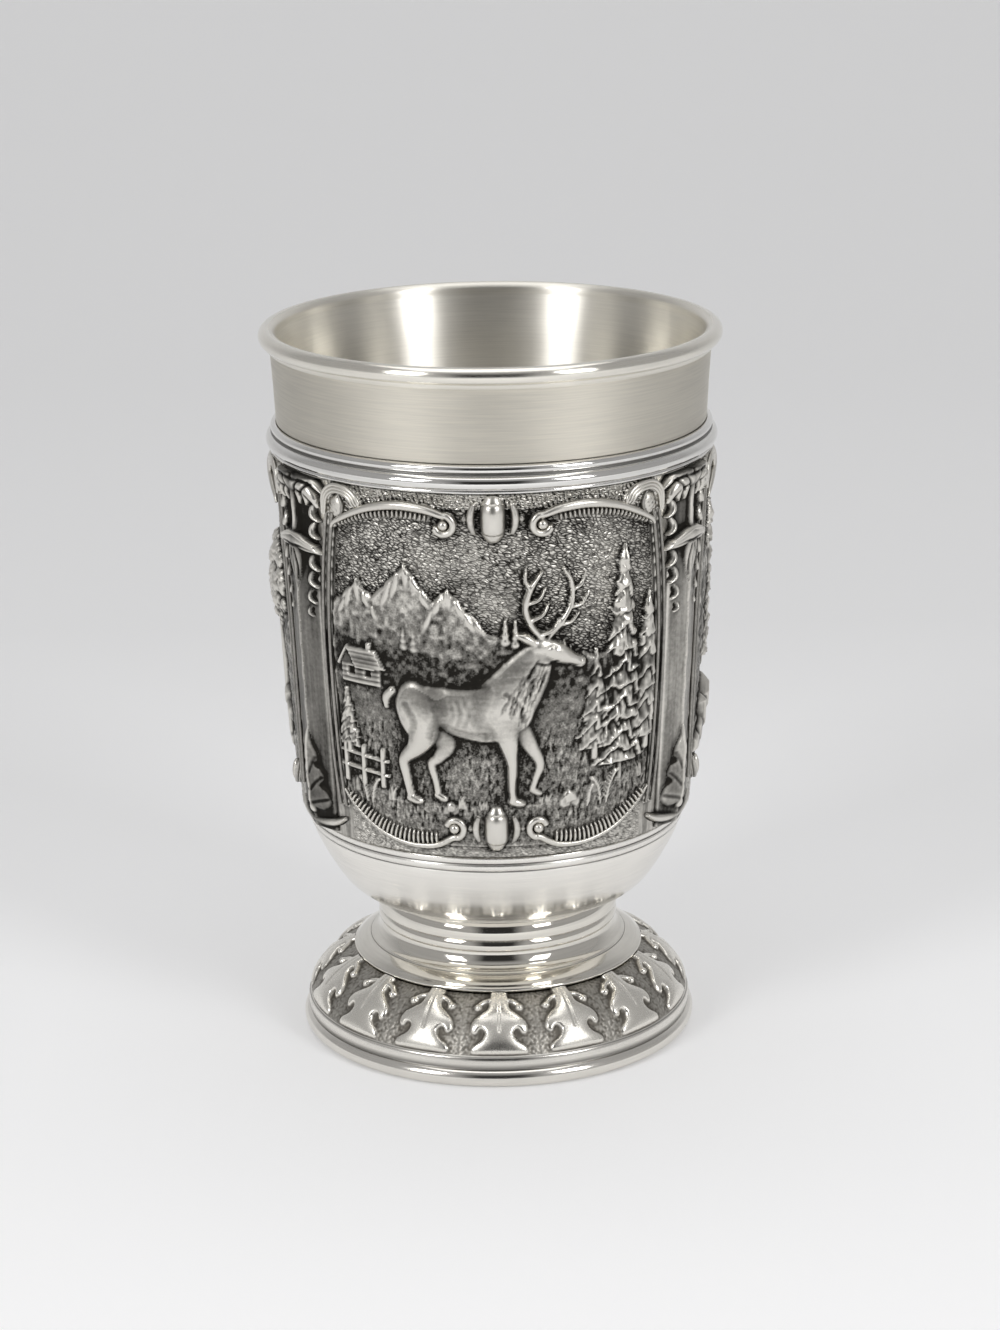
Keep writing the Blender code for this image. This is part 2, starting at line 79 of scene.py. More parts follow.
class Shade:
    """One socket of a node tree, with arithmetic that adds Math nodes."""

    def __init__(self, tree, socket):
        self.tree = tree
        self.socket = socket

    def node(self, kind, settings=None, out=0, **sockets):
        """Any other node: its settings first, then values or links by socket name, or by number as n0."""
        made = self.tree.nodes.new(kind)
        for key, value in (settings or {}).items():
            if key == "stops":
                ramp = made.color_ramp
                while len(ramp.elements) < len(value):
                    ramp.elements.new(0.5)
                for element, (place, grey) in zip(ramp.elements, value):
                    element.position = place
                    element.color = (grey, grey, grey, 1.0)
            else:
                setattr(made, key, value)
        for key, value in sockets.items():
            name = key.replace("_", " ")
            index = int(name[1:]) if name[0] == "n" and name[1:].isdigit() else name
            if isinstance(value, Shade):
                self.tree.links.new(value.socket, made.inputs[index])
            else:
                made.inputs[index].default_value = value
        return Shade(self.tree, made.outputs[out])

    def _math(self, operation, first, second):
        return self.node("ShaderNodeMath", {"operation": operation}, n0=first, n1=second)

    def __add__(self, other):
        return self._math("ADD", self, other)

    __radd__ = __add__

    def __mul__(self, other):
        return self._math("MULTIPLY", self, other)

    def __sub__(self, other):
        return self._math("SUBTRACT", self, other)

    def __rsub__(self, other):
        return self._math("SUBTRACT", other, self)

    def __rtruediv__(self, other):
        return self._math("DIVIDE", other, self)

    def __abs__(self):
        return self.node("ShaderNodeMath", {"operation": "ABSOLUTE"}, n0=self)

    def ranged(self, low, high, start=0.0, end=1.0):
        """This value's range from low to high, mapped to start and end and held there."""
        span = {"From_Min": low, "From_Max": high, "To_Min": start, "To_Max": end}
        return self.node("ShaderNodeMapRange", Value=self, **span)

    def clouds(self, scale, detail=3.0, **more):
        """Soft random patches over this place."""
        return self.node("ShaderNodeTexNoise", Vector=self, Scale=scale, Detail=detail, **more)

    def blend(self, first, second):
        """A colour between two others, as far along as this value says."""
        return self.node("ShaderNodeMix", {"data_type": "RGBA"}, out=2, n0=self, n6=first, n7=second)

    def marked(self, *names):
        """The values that a mesh holds for its points under these names."""
        return [self.node("ShaderNodeAttribute", {"attribute_name": name}, out="Fac") for name in names]

    def into(self, name):
        """Links this socket to the material's surface shader."""
        self.tree.links.new(self.socket, self.tree.nodes["Principled BSDF"].inputs[name])


def new_material(name, **constants):
    """A material with its constant values set, and its object coordinates to build on."""
    material = bpy.data.materials.new(name)
    material.use_nodes = True
    tree = material.node_tree
    shader = tree.nodes["Principled BSDF"]
    for key, value in constants.items():
        shader.inputs[key.replace("_", " ")].default_value = value
    coordinates = tree.nodes.new("ShaderNodeTexCoord")
    return material, Shade(tree, coordinates.outputs["Object"])


def make_object(name, vertices, faces, material):
    """A smooth-shaded mesh object whose place is in its mesh."""
    mesh = bpy.data.meshes.new(name)
    mesh.from_pydata(vertices, [], faces)
    mesh.materials.append(material)
    mesh.shade_smooth()
    return linked(name, mesh)


FLOOR_HALF_WIDTH = 1.5
FLOOR_FRONT = -0.6
SWEEP_START = 0.3
SWEEP_RADIUS = 0.35
SWEEP_STEPS = 24
BACKDROP_TOP = 1.6

sweep = [(FLOOR_FRONT, 0.0), (SWEEP_START, 0.0)]
for step in range(1, SWEEP_STEPS + 1):
    turn = math.radians(90.0 * step / SWEEP_STEPS)
    sweep.append((SWEEP_START + SWEEP_RADIUS * math.sin(turn), SWEEP_RADIUS * (1 - math.cos(turn))))
sweep.append((SWEEP_START + SWEEP_RADIUS, BACKDROP_TOP))
stage_points = [(side * FLOOR_HALF_WIDTH, y, z) for y, z in sweep for side in (-1, 1)]
stage_faces = [(i, i + 1, i + 3, i + 2) for i in range(0, len(stage_points) - 2, 2)]
# Painted light: the paper glows faintly in its own colour, which fills the shadows round the cup.
paper, place = new_material("backdrop_paper", Roughness=0.9, Emission_Strength=0.25)
across, depth = (place.node("ShaderNodeSeparateXYZ", out=axis, Vector=place) for axis in "XY")
# Painted shade: the paper darkens from the table's front to the backdrop's top, and a little at both sides
# near the cup.
side_shade = abs(across).ranged(0.045, 0.12, 0.0, 0.15)
near = depth.ranged(-0.01, 0.07, 1.0, 0.0)
stops = ((0.0, 0.96), (0.3, 0.765), (0.35, 0.75), (0.56, 0.626), (1.0, 0.614))
shade = place.node("ShaderNodeValToRGB", {"stops": stops}, Fac=depth * 1.5 + 0.35)
shade = shade * (1.0 - side_shade * near)
tint = place.node("ShaderNodeCombineColor", Red=shade, Green=shade, Blue=shade * 1.006)
tint.into("Base Color")
tint.into("Emission Color")
table = make_object("table", stage_points, stage_faces, paper)


def lamp(name, place, aim, size, watts):
    """A rectangular soft lamp that points at a spot."""
    data = bpy.data.lights.new(name, "AREA")
    data.shape = "RECTANGLE"
    data.size, data.size_y = size
    data.energy = watts
    made = linked(name, data)
    made.location = place
    made.rotation_euler = (Vector(aim) - Vector(place)).to_track_quat("-Z", "Y").to_euler()


CUP_MIDDLE = (0.0, 0.0, 0.04)
for name, side in (("left", -1), ("right", 1)):
    lamp(f"lamp_{name}", (side * 0.5, -0.52, 0.42), CUP_MIDDLE, (0.22, 0.34), watts=1.8)
lamp("lamp_overhead", (0.0, 0.05, 0.85), CUP_MIDDLE, (0.7, 0.7), watts=1.9)

ROOM_COLOUR = (0.78, 0.775, 0.775, 1.0)
ROOM_LIGHT, LENS_SHADE = 0.5, 0.46

world = bpy.data.worlds.new("studio")
bpy.context.scene.world = world
world.use_nodes = True
sky = world.node_tree.nodes.new("ShaderNodeTexCoord")
toward = Shade(world.node_tree, sky.outputs["Generated"])
across, depth, up = (toward.node("ShaderNodeSeparateXYZ", out=axis, Vector=toward) for axis in "XYZ")
narrow, low = abs(across).ranged(0.22, 0.42, 1.0, 0.0), up.ranged(0.55, 0.85, 1.0, 0.0)
behind_lens = narrow * depth.ranged(-0.5, -0.8) * low
room = ROOM_LIGHT - behind_lens * LENS_SHADE
background = world.node_tree.nodes["Background"].inputs
toward.tree.links.new(room.socket, background["Strength"])
background["Color"].default_value = ROOM_COLOUR


# Lip ring
# The drinking lip, spun from pewter sheet with its edge rolled into a bead, then turned on the
# lathe, bright inside and duller outside. It is soldered over the top of the bowl's wall.

def arc(centre, radius, start, end, steps):
    """Points of a round stretch of an outline, in millimetres and degrees."""
    angles = np.radians(np.linspace(start, end, steps + 1))
    return [(centre[0] + radius * math.cos(a), centre[1] + radius * math.sin(a)) for a in angles]


def smooth(points, steps):
    """A smooth curve through a few points."""
    points = np.array(points, float)
    ends = np.vstack([2 * points[0] - points[1], points, 2 * points[-1] - points[-2]])
    t = np.arange(steps)[:, None] / steps
    curve = []
    for p, q, r, s in zip(ends, ends[1:], ends[2:], ends[3:]):
        curve += list(0.5 * (2 * q + (r - p) * t + (2 * p - 5 * q + 4 * r - s) * t**2
                             + (3 * q - p - 3 * r + s) * t**3))
    return [tuple(point) for point in [*curve, points[-1]]]


def eased(points, radius, steps=4):
    """A line of straight stretches with its corners rounded to a small radius."""
    line = [points[0]]
    for before, corner, after in zip(points, points[1:], points[2:]):
        before, corner, after = (np.array(p, float) for p in (before, corner, after))
        back, on = before - corner, after - corner
        reach = min(radius, np.linalg.norm(back) / 2.2, np.linalg.norm(on) / 2.2)
        start = corner + back / np.linalg.norm(back) * reach
        end = corner + on / np.linalg.norm(on) * reach
        for t in np.linspace(0.0, 1.0, steps + 1):
            line.append(tuple((1 - t)**2 * start + 2 * t * (1 - t) * corner + t**2 * end))
    return [*line, points[-1]]


def mark(mesh, **fields):
    """Stores a value for each point of a mesh under each name, for a material or a node tree to read."""
    for name, values in fields.items():
        mesh.attributes.new(name, "FLOAT", "POINT").data.foreach_set("value", np.asarray(values, np.float32))


TURNING_STEPS = 256


def turned(name, outline, material, closed=True, polish=0.0, dull=0.0):
    """A turned piece from its outline of (radius, height), which runs down the outer side."""
    outline = np.array(outline) * MM
    angles = np.linspace(0.0, 2 * math.pi, TURNING_STEPS, endpoint=False)
    rows = len(outline)
    radius = outline[:, :1]
    ring = np.stack([radius * np.cos(angles), radius * np.sin(angles), outline[:, 1:] + 0 * angles], -1)
    index = np.arange(rows * TURNING_STEPS).reshape(rows, TURNING_STEPS)
    upper = index if closed else index[:-1]
    lower = np.roll(index, -1, 0) if closed else index[1:]
    quads = np.stack([upper, lower, np.roll(lower, -1, 1), np.roll(upper, -1, 1)], -1).reshape(-1, 4)
    vertices, faces = ring.reshape(-1, 3).tolist(), quads.tolist()
    if not closed:
        first, last = len(vertices), len(vertices) + 1
        vertices += [[0.0, 0.0, outline[0, 1]], [0.0, 0.0, outline[-1, 1]]]
        faces += [(first, a, b) for a, b in zip(index[0], np.roll(index[0], -1))]
        faces += [(last, b, a) for a, b in zip(index[-1], np.roll(index[-1], -1))]
    made = make_object(name, vertices, faces, material)
    finishes = (np.repeat(finish + np.zeros(rows), TURNING_STEPS) for finish in (polish, dull))
    polish, dull = (np.pad(finish, (0, len(vertices) - index.size), mode="edge") for finish in finishes)
    mark(made.data, polish=polish, dull=dull)
    return made


TOOL_MARKS = (160.0, 160.0, 6500.0)
CUT_COLOUR = (0.1, 0.097, 0.09, 1.0)


def turned_metal(name, colour, satin, bright, brushing):
    """Pewter from the lathe: polish 1 is bright, 0 satin with tool marks, -1 a cut line that stays dark.

    Where the piece is marked dull, its satin is rougher.
    """
    material, place = new_material(name, Metallic=1.0, Anisotropic=brushing, Anisotropic_Rotation=0.25)
    polish, dull = place.marked("polish", "dull")
    along = place.node("ShaderNodeVectorMath", {"operation": "MULTIPLY"}, n0=place, n1=TOOL_MARKS)
    fine = along.clouds(1.0, Roughness=0.6)
    cloud = place.clouds(140.0)
    brushed = satin - 0.12 + fine * 0.16 + cloud * 0.08 + dull * 0.5
    (brushed * (1.0 - polish) + (bright + cloud * 0.03) * polish).into("Roughness")
    worn = (fine + cloud * 0.4).ranged(0.4, 1.0)
    tone = worn.blend((*(0.92 * c for c in colour), 1.0), (*(1.06 * c for c in colour), 1.0))
    polish.ranged(-1.0, 0.0).blend(CUT_COLOUR, tone).into("Base Color")
    lines = fine * (1.0 - polish)
    place.node("ShaderNodeBump", Strength=0.16, Distance=0.00002, Height=lines).into("Normal")
    return material


lip_metal = turned_metal("lip_pewter", (0.84, 0.812, 0.742), satin=0.36, bright=0.1, brushing=0.9)

RIM_BEAD, RIM_BEAD_RADIUS = (21.1, 69.2), 0.8
RIM_POLISH, BRUSHED_RADIUS = 0.7, 20.95
lip_inside = smooth([(18.65, 60.8), (19.35, 65.0), (19.9, 67.4), (20.32, 69.0)], 8)
lip_rim = arc(RIM_BEAD, RIM_BEAD_RADIUS, 165, -75, 20)
lip_outside = eased(
    [(21.3, 68.38), (21.12, 68.05), (20.85, 67.9), (20.62, 64.5), (20.45, 61.11), (20.2, 61.11)], 0.06
)
lip_skirt = [(20.2, 58.7), (19.55, 58.7), (19.55, 60.8)]
lip_outline = [*lip_inside, *lip_rim, *lip_outside, *lip_skirt]
lip_polish = [RIM_POLISH * (radius > BRUSHED_RADIUS) for radius, height in lip_outline]
lip_dull = np.arange(len(lip_outline)) >= len(lip_inside) + len(lip_rim)
lip_ring = turned("lip_ring_turned", lip_outline, lip_metal, polish=lip_polish, dull=lip_dull)
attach(lip_ring, "root")
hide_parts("lip_ring")


# Bead collar
# A turned ring of two half-round beads and a narrow fillet, polished, that covers the
# joint between the lip and the cast jacket.

collar_metal = turned_metal("collar_pewter", (0.8, 0.79, 0.765), satin=0.3, bright=0.07, brushing=0.3)
fine_bead = arc((20.55, 60.6), 0.45, 90, -75, 10)
broad_bead = arc((20.78, 59.42), 0.68, 75, -70, 14)
collar_outline = [(20.4, 58.5), (20.4, 61.05), *fine_bead, *broad_bead, (21.1, 58.72), (21.1, 58.5)]
CUT_LINE = -0.8
collar_cuts = fine_bead[-1], broad_bead[0], broad_bead[-1]
collar_polish = [CUT_LINE if point in collar_cuts else 1.0 for point in collar_outline]
bead_collar = turned("bead_collar_turned", collar_outline, collar_metal, polish=collar_polish)
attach(bead_collar, "root")
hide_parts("bead_collar")


# Bowl
# The vessel, turned from one casting: a thin wall behind the jacket, a shoulder that the
# plates stand on, a round belly below with two fine turned lines, and a spigot underneath.

bowl_metal = turned_metal("bowl_pewter", (0.91, 0.888, 0.84), satin=0.36, bright=0.13, brushing=0.9)
wall_inside = smooth(
    [(0.05, 15.5), (5.0, 15.55), (9.0, 15.85), (12.4, 17.0), (14.6, 18.7), (16.2, 21.0), (16.95, 24.0),
     (17.7, 33.0), (18.2, 45.0), (18.55, 58.3), (18.65, 60.6)], 8
)
wall_outside = [(19.35, 60.6), (19.25, 58.3), (18.75, 43.0), (17.6, 23.25), (17.6, 22.95)]
belly_cuts = upper_start, upper_end, lower_start, lower_end = (
    (18.3, 22.34), (18.28, 22.24), (18.08, 21.5), (18.05, 21.42)
)
belly_shoulder = [
    (18.42, 22.95), (18.47, 22.85), (18.44, 22.42), upper_start, upper_end, (18.38, 22.16),
    (18.24, 21.58), lower_start, lower_end, (18.1, 21.34),
]
belly_round = smooth(
    [(17.98, 21.1), (17.85, 20.6), (17.3, 19.4), (16.65, 18.2), (15.95, 17.0), (15.1, 15.8), (14.1, 14.9),
     (12.9, 14.3), (12.0, 14.1)], 6
)
bowl_under = eased([(11.9, 14.1), (9.5, 14.1), (9.5, 11.9), (8.3, 11.9), (8.3, 14.1), (0.05, 14.1)], 0.15)
bowl_inner, bowl_outer = [*wall_inside, *wall_outside], [*belly_shoulder, *belly_round, *bowl_under[1:]]
belly_shine = np.interp([height for radius, height in bowl_outer], (16.6, 18.4), (1.0, 0.65))
belly_polish = [CUT_LINE if point in belly_cuts else shine for point, shine in zip(bowl_outer, belly_shine)]
bowl_polish = np.concatenate([np.zeros(len(bowl_inner)), belly_polish])
bowl = turned("bowl_turned", [*bowl_inner, *bowl_outer], bowl_metal, closed=False, polish=bowl_polish)
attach(bowl, "root")
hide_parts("bowl")


# Relief panels
# Three cast pewter plates, rolled to the curve of the jacket and soldered to the bowl's shoulder.
# Each shows a woodland scene in low relief inside a frame of rails, ribbed scrolls and clasps.
# The hollows keep a dark patina, and the high parts are worn bright; over that, sheen, glints and shade are
# painted on the punched ground and the stag.

JACKET_BOTTOM, JACKET_TOP = 23.25, 58.3
JACKET_RADIUS, JACKET_FLARE, JACKET_BULGE = 18.9, 2.55, 0.9
FLAT_RADIUS = 20.0
PANEL_HALF_ANGLE = 59.6
PLATE_THICKNESS = 1.1


def unit(values):
    """Values held between 0 and 1."""
    return np.clip(values, 0.0, 1.0)


def on_jacket(x, z, height):
    """Where a point of the flat drawing lies on the jacket: arc length, height and lift, in millimetres."""
    up = (z - JACKET_BOTTOM) / (JACKET_TOP - JACKET_BOTTOM)
    radius = JACKET_RADIUS + JACKET_FLARE * up - JACKET_BULGE * up**2 + height
    angle = x / FLAT_RADIUS
    return np.stack([radius * np.sin(angle), -radius * np.cos(angle), z], -1) * MM


class Relief:
    """A cast sheet drawn flat: heights in millimetres on a grid of arc length x and height z."""

    def __init__(self, half_width, bottom, top, columns, rows, seed):
        self.x, self.z = np.meshgrid(
            np.linspace(-half_width, half_width, columns + 1), np.linspace(bottom, top, rows + 1)
        )
        self.pitch = (2 * half_width / columns, (top - bottom) / rows)
        self.corner = (-half_width, bottom)
        self.h, self.rubbed, self.punched, self.turf = (np.zeros_like(self.x) for _ in range(4))
        self.random = np.random.default_rng(seed)

    def window(self, low_x, high_x, low_z, high_z):
        """The part of the grid that a shape can reach."""
        i0, i1 = ((v - self.corner[0]) / self.pitch[0] for v in (low_x, high_x))
        j0, j1 = ((v - self.corner[1]) / self.pitch[1] for v in (low_z, high_z))
        return slice(max(0, int(j0)), max(0, int(j1) + 2)), slice(max(0, int(i0)), max(0, int(i1) + 2))

    def stretches(self, stations, steps, reach):
        """Each stretch of a line with the grid's place along it and distance from it, squared."""
        line = np.array(smooth(stations, steps) if len(stations) > 2 else stations, float)
        low, high = line[:, :2].min(0) - reach, line[:, :2].max(0) + reach
        area = self.window(low[0], high[0], low[1], high[1])
        x, z = self.x[area], self.z[area]
        found = []
        for a, b in zip(line, line[1:]):
            run, rise = b[:2] - a[:2]
            along = unit(((x - a[0]) * run + (z - a[1]) * rise) / max(run**2 + rise**2, 1e-9))
            found.append((a, b, along, (x - a[0] - run * along)**2 + (z - a[1] - rise * along)**2))
        return area, found

    def limb(self, stations, base=0.0, steps=5, soft=0.0):
        """A rounded form along stations of (x, z, half width, height), laid over what is there."""
        area, found = self.stretches(stations, steps, max(station[2] for station in stations))
        form = np.zeros_like(self.h[area])
        for a, b, along, away in found:
            width = np.maximum(a[2] + (b[2] - a[2]) * along, 0.02)
            height = a[3] + (b[3] - a[3]) * along
            form = np.maximum(form, height * np.sqrt(unit(1.0 - away / width**2)))
        self.lay(area, form, base, soft)

    def lay(self, area, form, base=0.0, soft=0.0, turf=0.0):
        """The higher of the form and what is there, eased by soft where the two meet; turf roughens it."""
        there = self.h[area]
        raised = np.where(form > 0.0, form + base, there)
        covers = raised > there
        higher = np.maximum(there, raised)
        if soft:
            ease = np.clip(soft - np.abs(there - raised), 0.0, None)**2 / (4 * soft)
            higher = np.where(form > 0.0, higher + ease, higher)
        self.h[area] = higher
        self.turf[area] = np.where(covers, turf, self.turf[area])
        self.punched[area] = np.where(covers, 0.0, self.punched[area])

    def groove(self, points, width, depth):
        """A cut line along (x, z) points."""
        area, found = self.stretches(points, 4, width)
        cut = np.zeros_like(self.h[area])
        for a, b, along, away in found:
            cut = np.maximum(cut, depth * unit(1.0 - away / width**2))
        self.h[area] -= cut

    def inside(self, outline):
        """Where the grid lies inside a closed outline of (x, z) points."""
        outline = np.array(outline, float)
        low, high = outline.min(0), outline.max(0)
        area = self.window(low[0], high[0], low[1], high[1])
        x, z = self.x[area], self.z[area]
        held = np.zeros(x.shape, bool)
        for (x0, z0), (x1, z1) in zip(outline, np.roll(outline, -1, 0)):
            if z0 != z1:
                crosses = (z0 > z) != (z1 > z)
                held ^= crosses & (x < (x1 - x0) * (z - z0) / (z1 - z0) + x0)
        return area, held

    def block(self, outline, height):
        """A form inside a closed outline of (x, z) points, of one height or of heights over the grid."""
        area, held = self.inside(outline)
        self.lay(area, np.where(held, (height + 0.0 * self.z)[area], 0.0))

    def leaf(self, right):
        """1 inside a leaf, 0 outside it, from its right-hand edge of (x, z) points."""
        area, held = self.inside([*right, *[(-x, z) for x, z in right[::-1]]])
        body = np.zeros_like(self.h)
        body[area] = held
        return body

    def blurred(self, field, reach):
        """The field softened over a reach in millimetres."""
        for axis, pitch in ((1, self.pitch[0]), (0, self.pitch[1])):
            count = int(3 * reach / pitch) + 1
            weights = np.exp(-0.5 * (np.arange(-count, count + 1) * pitch / reach)**2)
            padding = [(0, 0), (0, 0)]
            padding[axis] = (count, count)
            padded = np.pad(field, padding, mode="edge")
            size = field.shape[axis]
            shifted = (w * np.take(padded, range(k, k + size), axis) for k, w in enumerate(weights))
            field = sum(shifted) / weights.sum()
        return field

    def noise(self, size_x, size_z):
        """Smooth random heights from -1 to 1 with lumps of about this size."""
        u = (self.x - self.x[0, 0]) / size_x
        v = (self.z - self.z[0, 0]) / size_z
        i, j = u.astype(int), v.astype(int)
        knots = self.random.uniform(-1.0, 1.0, (j.max() + 2, i.max() + 2))
        s, t = u - i, v - j
        s, t = s * s * (3 - 2 * s), t * t * (3 - 2 * t)
        low = knots[j, i] * (1 - s) + knots[j, i + 1] * s
        high = knots[j + 1, i] * (1 - s) + knots[j + 1, i + 1] * s
        return low * (1 - t) + high * t

    def scales(self, size_x, size_z):
        """Punched scales: the height of the nearest of many small scattered domes, 0 to 1."""
        u = (self.x - self.x[0, 0]) / size_x + 1
        v = (self.z - self.z[0, 0]) / size_z + 1
        i, j = u.astype(int), v.astype(int)
        shift = self.random.uniform(0.05, 0.95, (2, j.max() + 3, i.max() + 3))
        near = np.full_like(u, 9.0)
        for di in (-1, 0, 1):
            for dj in (-1, 0, 1):
                dx = i + di + shift[0, j + dj, i + di] - u
                dz = j + dj + shift[1, j + dj, i + di] - v
                near = np.minimum(near, dx**2 + dz**2)
        return unit(1.0 - near / 0.55)

    def wear(self):
        """How far each point is worn bright, with painted sheen added: it stands above what is round it."""
        fine, middle, broad = (self.h - self.blurred(self.h, reach) for reach in (0.22, 0.6, 1.8))
        return unit(0.3 + self.rubbed + 3.0 * fine + 0.8 * middle + 0.45 * broad + 0.08 * self.h)

    def grid(self):
        """The numbers of the grid's points, and the faces between them."""
        index = np.arange(self.h.size).reshape(self.h.shape)
        quads = np.stack([index[:-1, :-1], index[:-1, 1:], index[1:, 1:], index[1:, :-1]], -1)
        return index, quads.reshape(-1, 4).tolist()

    def shell(self, name, place, thickness, material, coarse=8):
        """A closed plate: the relief in front, a coarser smooth back, and rims between them."""
        front = place(self.x, self.z, self.h).reshape(-1, 3)
        back = place(self.x, self.z, self.h * 0.0 - thickness)[::coarse, ::coarse].reshape(-1, 3)
        index, faces = self.grid()
        behind = np.arange(len(back)).reshape(self.h[::coarse, ::coarse].shape) + len(front)
        relief_count = len(faces)
        faces += np.stack(
            [behind[:-1, :-1], behind[1:, :-1], behind[1:, 1:], behind[:-1, 1:]], -1
        ).reshape(-1, 4).tolist()
        for edge, far in (
            (index[0], behind[0]), (index[:, -1], behind[:, -1]),
            (index[-1, ::-1], behind[-1, ::-1]), (index[::-1, 0], behind[::-1, 0]),
        ):
            for k in range(len(far) - 1):
                stretch = edge[k * coarse:(k + 1) * coarse + 1][::-1]
                faces.append([*stretch.tolist(), int(far[k]), int(far[k + 1])])
        made = make_object(name, np.vstack([front, back]).tolist(), faces, material)
        flat = np.arange(len(faces)) >= relief_count
        made.data.attributes.new("sharp_face", "BOOLEAN", "FACE").data.foreach_set("value", flat)
        plain_back = np.full(len(back), 0.3)
        fields = (self.wear(), self.punched, self.turf)
        wear, punched, turf = (np.append(field, plain_back) for field in fields)
        mark(made.data, wear=wear, punched=punched, turf=turf)
        return made


FLAKE_SCALE = 1850.0


def cast_metal(name, roughness, dark, bright):
    """Cast pewter with a dark patina, worn off the high parts, and painted sheen, glints and shade; its
    ground is punched or stippled.
    """
    material, place = new_material(name, Metallic=1.0)
    rubbed, punched, turf = place.marked("wear", "punched", "turf")
    grain = place.clouds(2600.0, Roughness=0.6)
    cloud = place.clouds(260.0)
    stipple = place.clouds(5200.0, 2.0)
    wander = place.clouds(1100.0, 1.0, out="Color")
    drift = place.node(
        "ShaderNodeVectorMath", {"operation": "MULTIPLY_ADD"}, n0=wander, n1=(3.5e-4,) * 3, n2=place
    )
    flakes = place.node(
        "ShaderNodeMapping", {"vector_type": "TEXTURE"},
        Vector=drift, Rotation=(0.0, 0.3, 0.0), Scale=(1.0, 1.0, 0.4),
    )
    cells = {"Vector": flakes, "Scale": FLAKE_SCALE}
    edge = place.node("ShaderNodeTexVoronoi", {"feature": "DISTANCE_TO_EDGE"}, **cells)
    chance = place.node("ShaderNodeTexVoronoi", out="Color", **cells)
    pad = place.node("ShaderNodeValToRGB", {"stops": ((0.0, 0.0), (0.18, 0.7), (0.45, 1.0))}, Fac=edge)
    sunk = (1.0 - pad) * punched * (cloud * 1.2 + 0.3)
    tilt = (chance - 0.5) * punched
    rough = (stipple - 0.5) * turf
    # Painted light in the colour: the punched ground is painted brighter as sheen, the gaps between its
    # flakes darker as shade, and each flake lighter or darker at random as a glint.
    bare_and_sheen = rubbed + punched * 0.27 + grain * 0.24 + cloud * 0.16 - 0.17
    bare_and_sheen = bare_and_sheen - sunk * 0.62 + tilt * 0.36 + rough * 0.55
    bare_and_sheen = place.node("ShaderNodeValToRGB", {"stops": ((0.1, 0.0), (0.4, 0.36), (0.7, 1.0))}, Fac=bare_and_sheen)
    patina = (dark, 0.92 * dark, 0.79 * dark, 1.0)
    metal = (bright, 0.968 * bright, 0.895 * bright, 1.0)
    bare_and_sheen.blend(patina, metal).into("Base Color")
    (roughness + 0.26 - bare_and_sheen * 0.26 + grain * 0.06).into("Roughness")
    height = grain * 0.15 - sunk * 2.8 + tilt * 1.6 + rough * 0.9
    place.node("ShaderNodeBump", Strength=0.8, Distance=0.00006, Height=height).into("Normal")
    return material


def hills(sheet, crest, foot, height, trees, summits=()):
    """A range under a crest line of (x, z) points: ribs of rock below its summits, and a few far firs."""
    line = np.array(crest)
    ragged = np.interp(sheet.x, line[:, 0], line[:, 1])
    ragged = ragged + 0.2 * sheet.noise(0.7, 99.0) + 0.1 * sheet.noise(0.3, 99.0)
    depth = ragged - sheet.z
    fade = 0.25 + 0.75 * unit((sheet.z - foot) / 4.0)
    rough = 0.5 * sheet.noise(0.9, 0.8) + 0.5 * sheet.noise(0.4, 0.45)
    form = height * unit(depth / 0.5)**0.5 * fade * (0.75 + 0.35 * rough)
    sheet.lay(np.s_[:, :], np.where(depth > 0.0, form, 0.0), turf=0.6)
    sheet.rubbed -= np.where(depth > 0.5, 0.1 * unit((sheet.z - foot - 3.0) / 3.0), 0.0)
    ribs = ((0.0, 0.1, 0.25), (-0.7, 1.1, -0.7), (0.8, 1.2, 0.9), (-1.5, 2.3, -1.0), (1.7, 2.5, 0.8))
    for x, z in summits:
        for start, drop, lean in ribs:
            size = sheet.random.uniform(1.5, 2.6)
            bend = lean + sheet.random.uniform(-0.5, 0.5)
            sheet.limb([
                (x + start, z - drop, 0.12, 0.5 * height),
                (x + start + 0.3 * bend, z - drop - 0.45 * size, 0.3, 0.6 * height),
                (x + start + lean, z - drop - size, 0.22, 0.15 * height),
            ], 0.55 * height)
    for x in trees:
        z = float(np.interp(x, line[:, 0], line[:, 1])) - 0.5
        tall = sheet.random.uniform(1.5, 2.4)
        for k in range(3):
            low = z + tall * 0.28 * k
            tip = (x, low + 0.45 * tall, 0.08, 0.5 * height)
            sheet.limb([tip, (x, low + 0.12, 0.5 - 0.12 * k, height)], base=0.14)


def meadow(sheet, crest, height):
    """Ground under a crest line of (x, z) points: a bank along its edge and punched turf below."""
    line = np.array(smooth(crest, 8))
    depth = np.interp(sheet.x, line[:, 0], line[:, 1]) + 0.22 * sheet.noise(0.6, 9.0) - sheet.z
    turf = 0.55 * sheet.noise(0.2, 0.42) + 0.45 * sheet.noise(0.7, 0.5)
    bank = height * np.sqrt(unit(depth / 0.6)) * (1.0 - 0.25 * unit(depth / 4.0))
    ground = np.clip(bank + 0.09 * turf * unit(2.0 * depth), 0.01, None)
    sheet.lay(np.s_[:, :], np.where(depth > 0.0, ground, 0.0), turf=1.0)


def grass(sheet, low, high, count):
    """Short strokes of grass, cut into the ground between two heights."""
    for _ in range(count):
        x, z = sheet.random.uniform(-16.5, 16.5), sheet.random.uniform(low, high)
        lean = sheet.random.uniform(-0.35, 0.35)
        size = sheet.random.uniform(0.5, 1.1)
        sheet.groove([(x, z), (x + lean * size, z + size)], 0.14, 0.06)


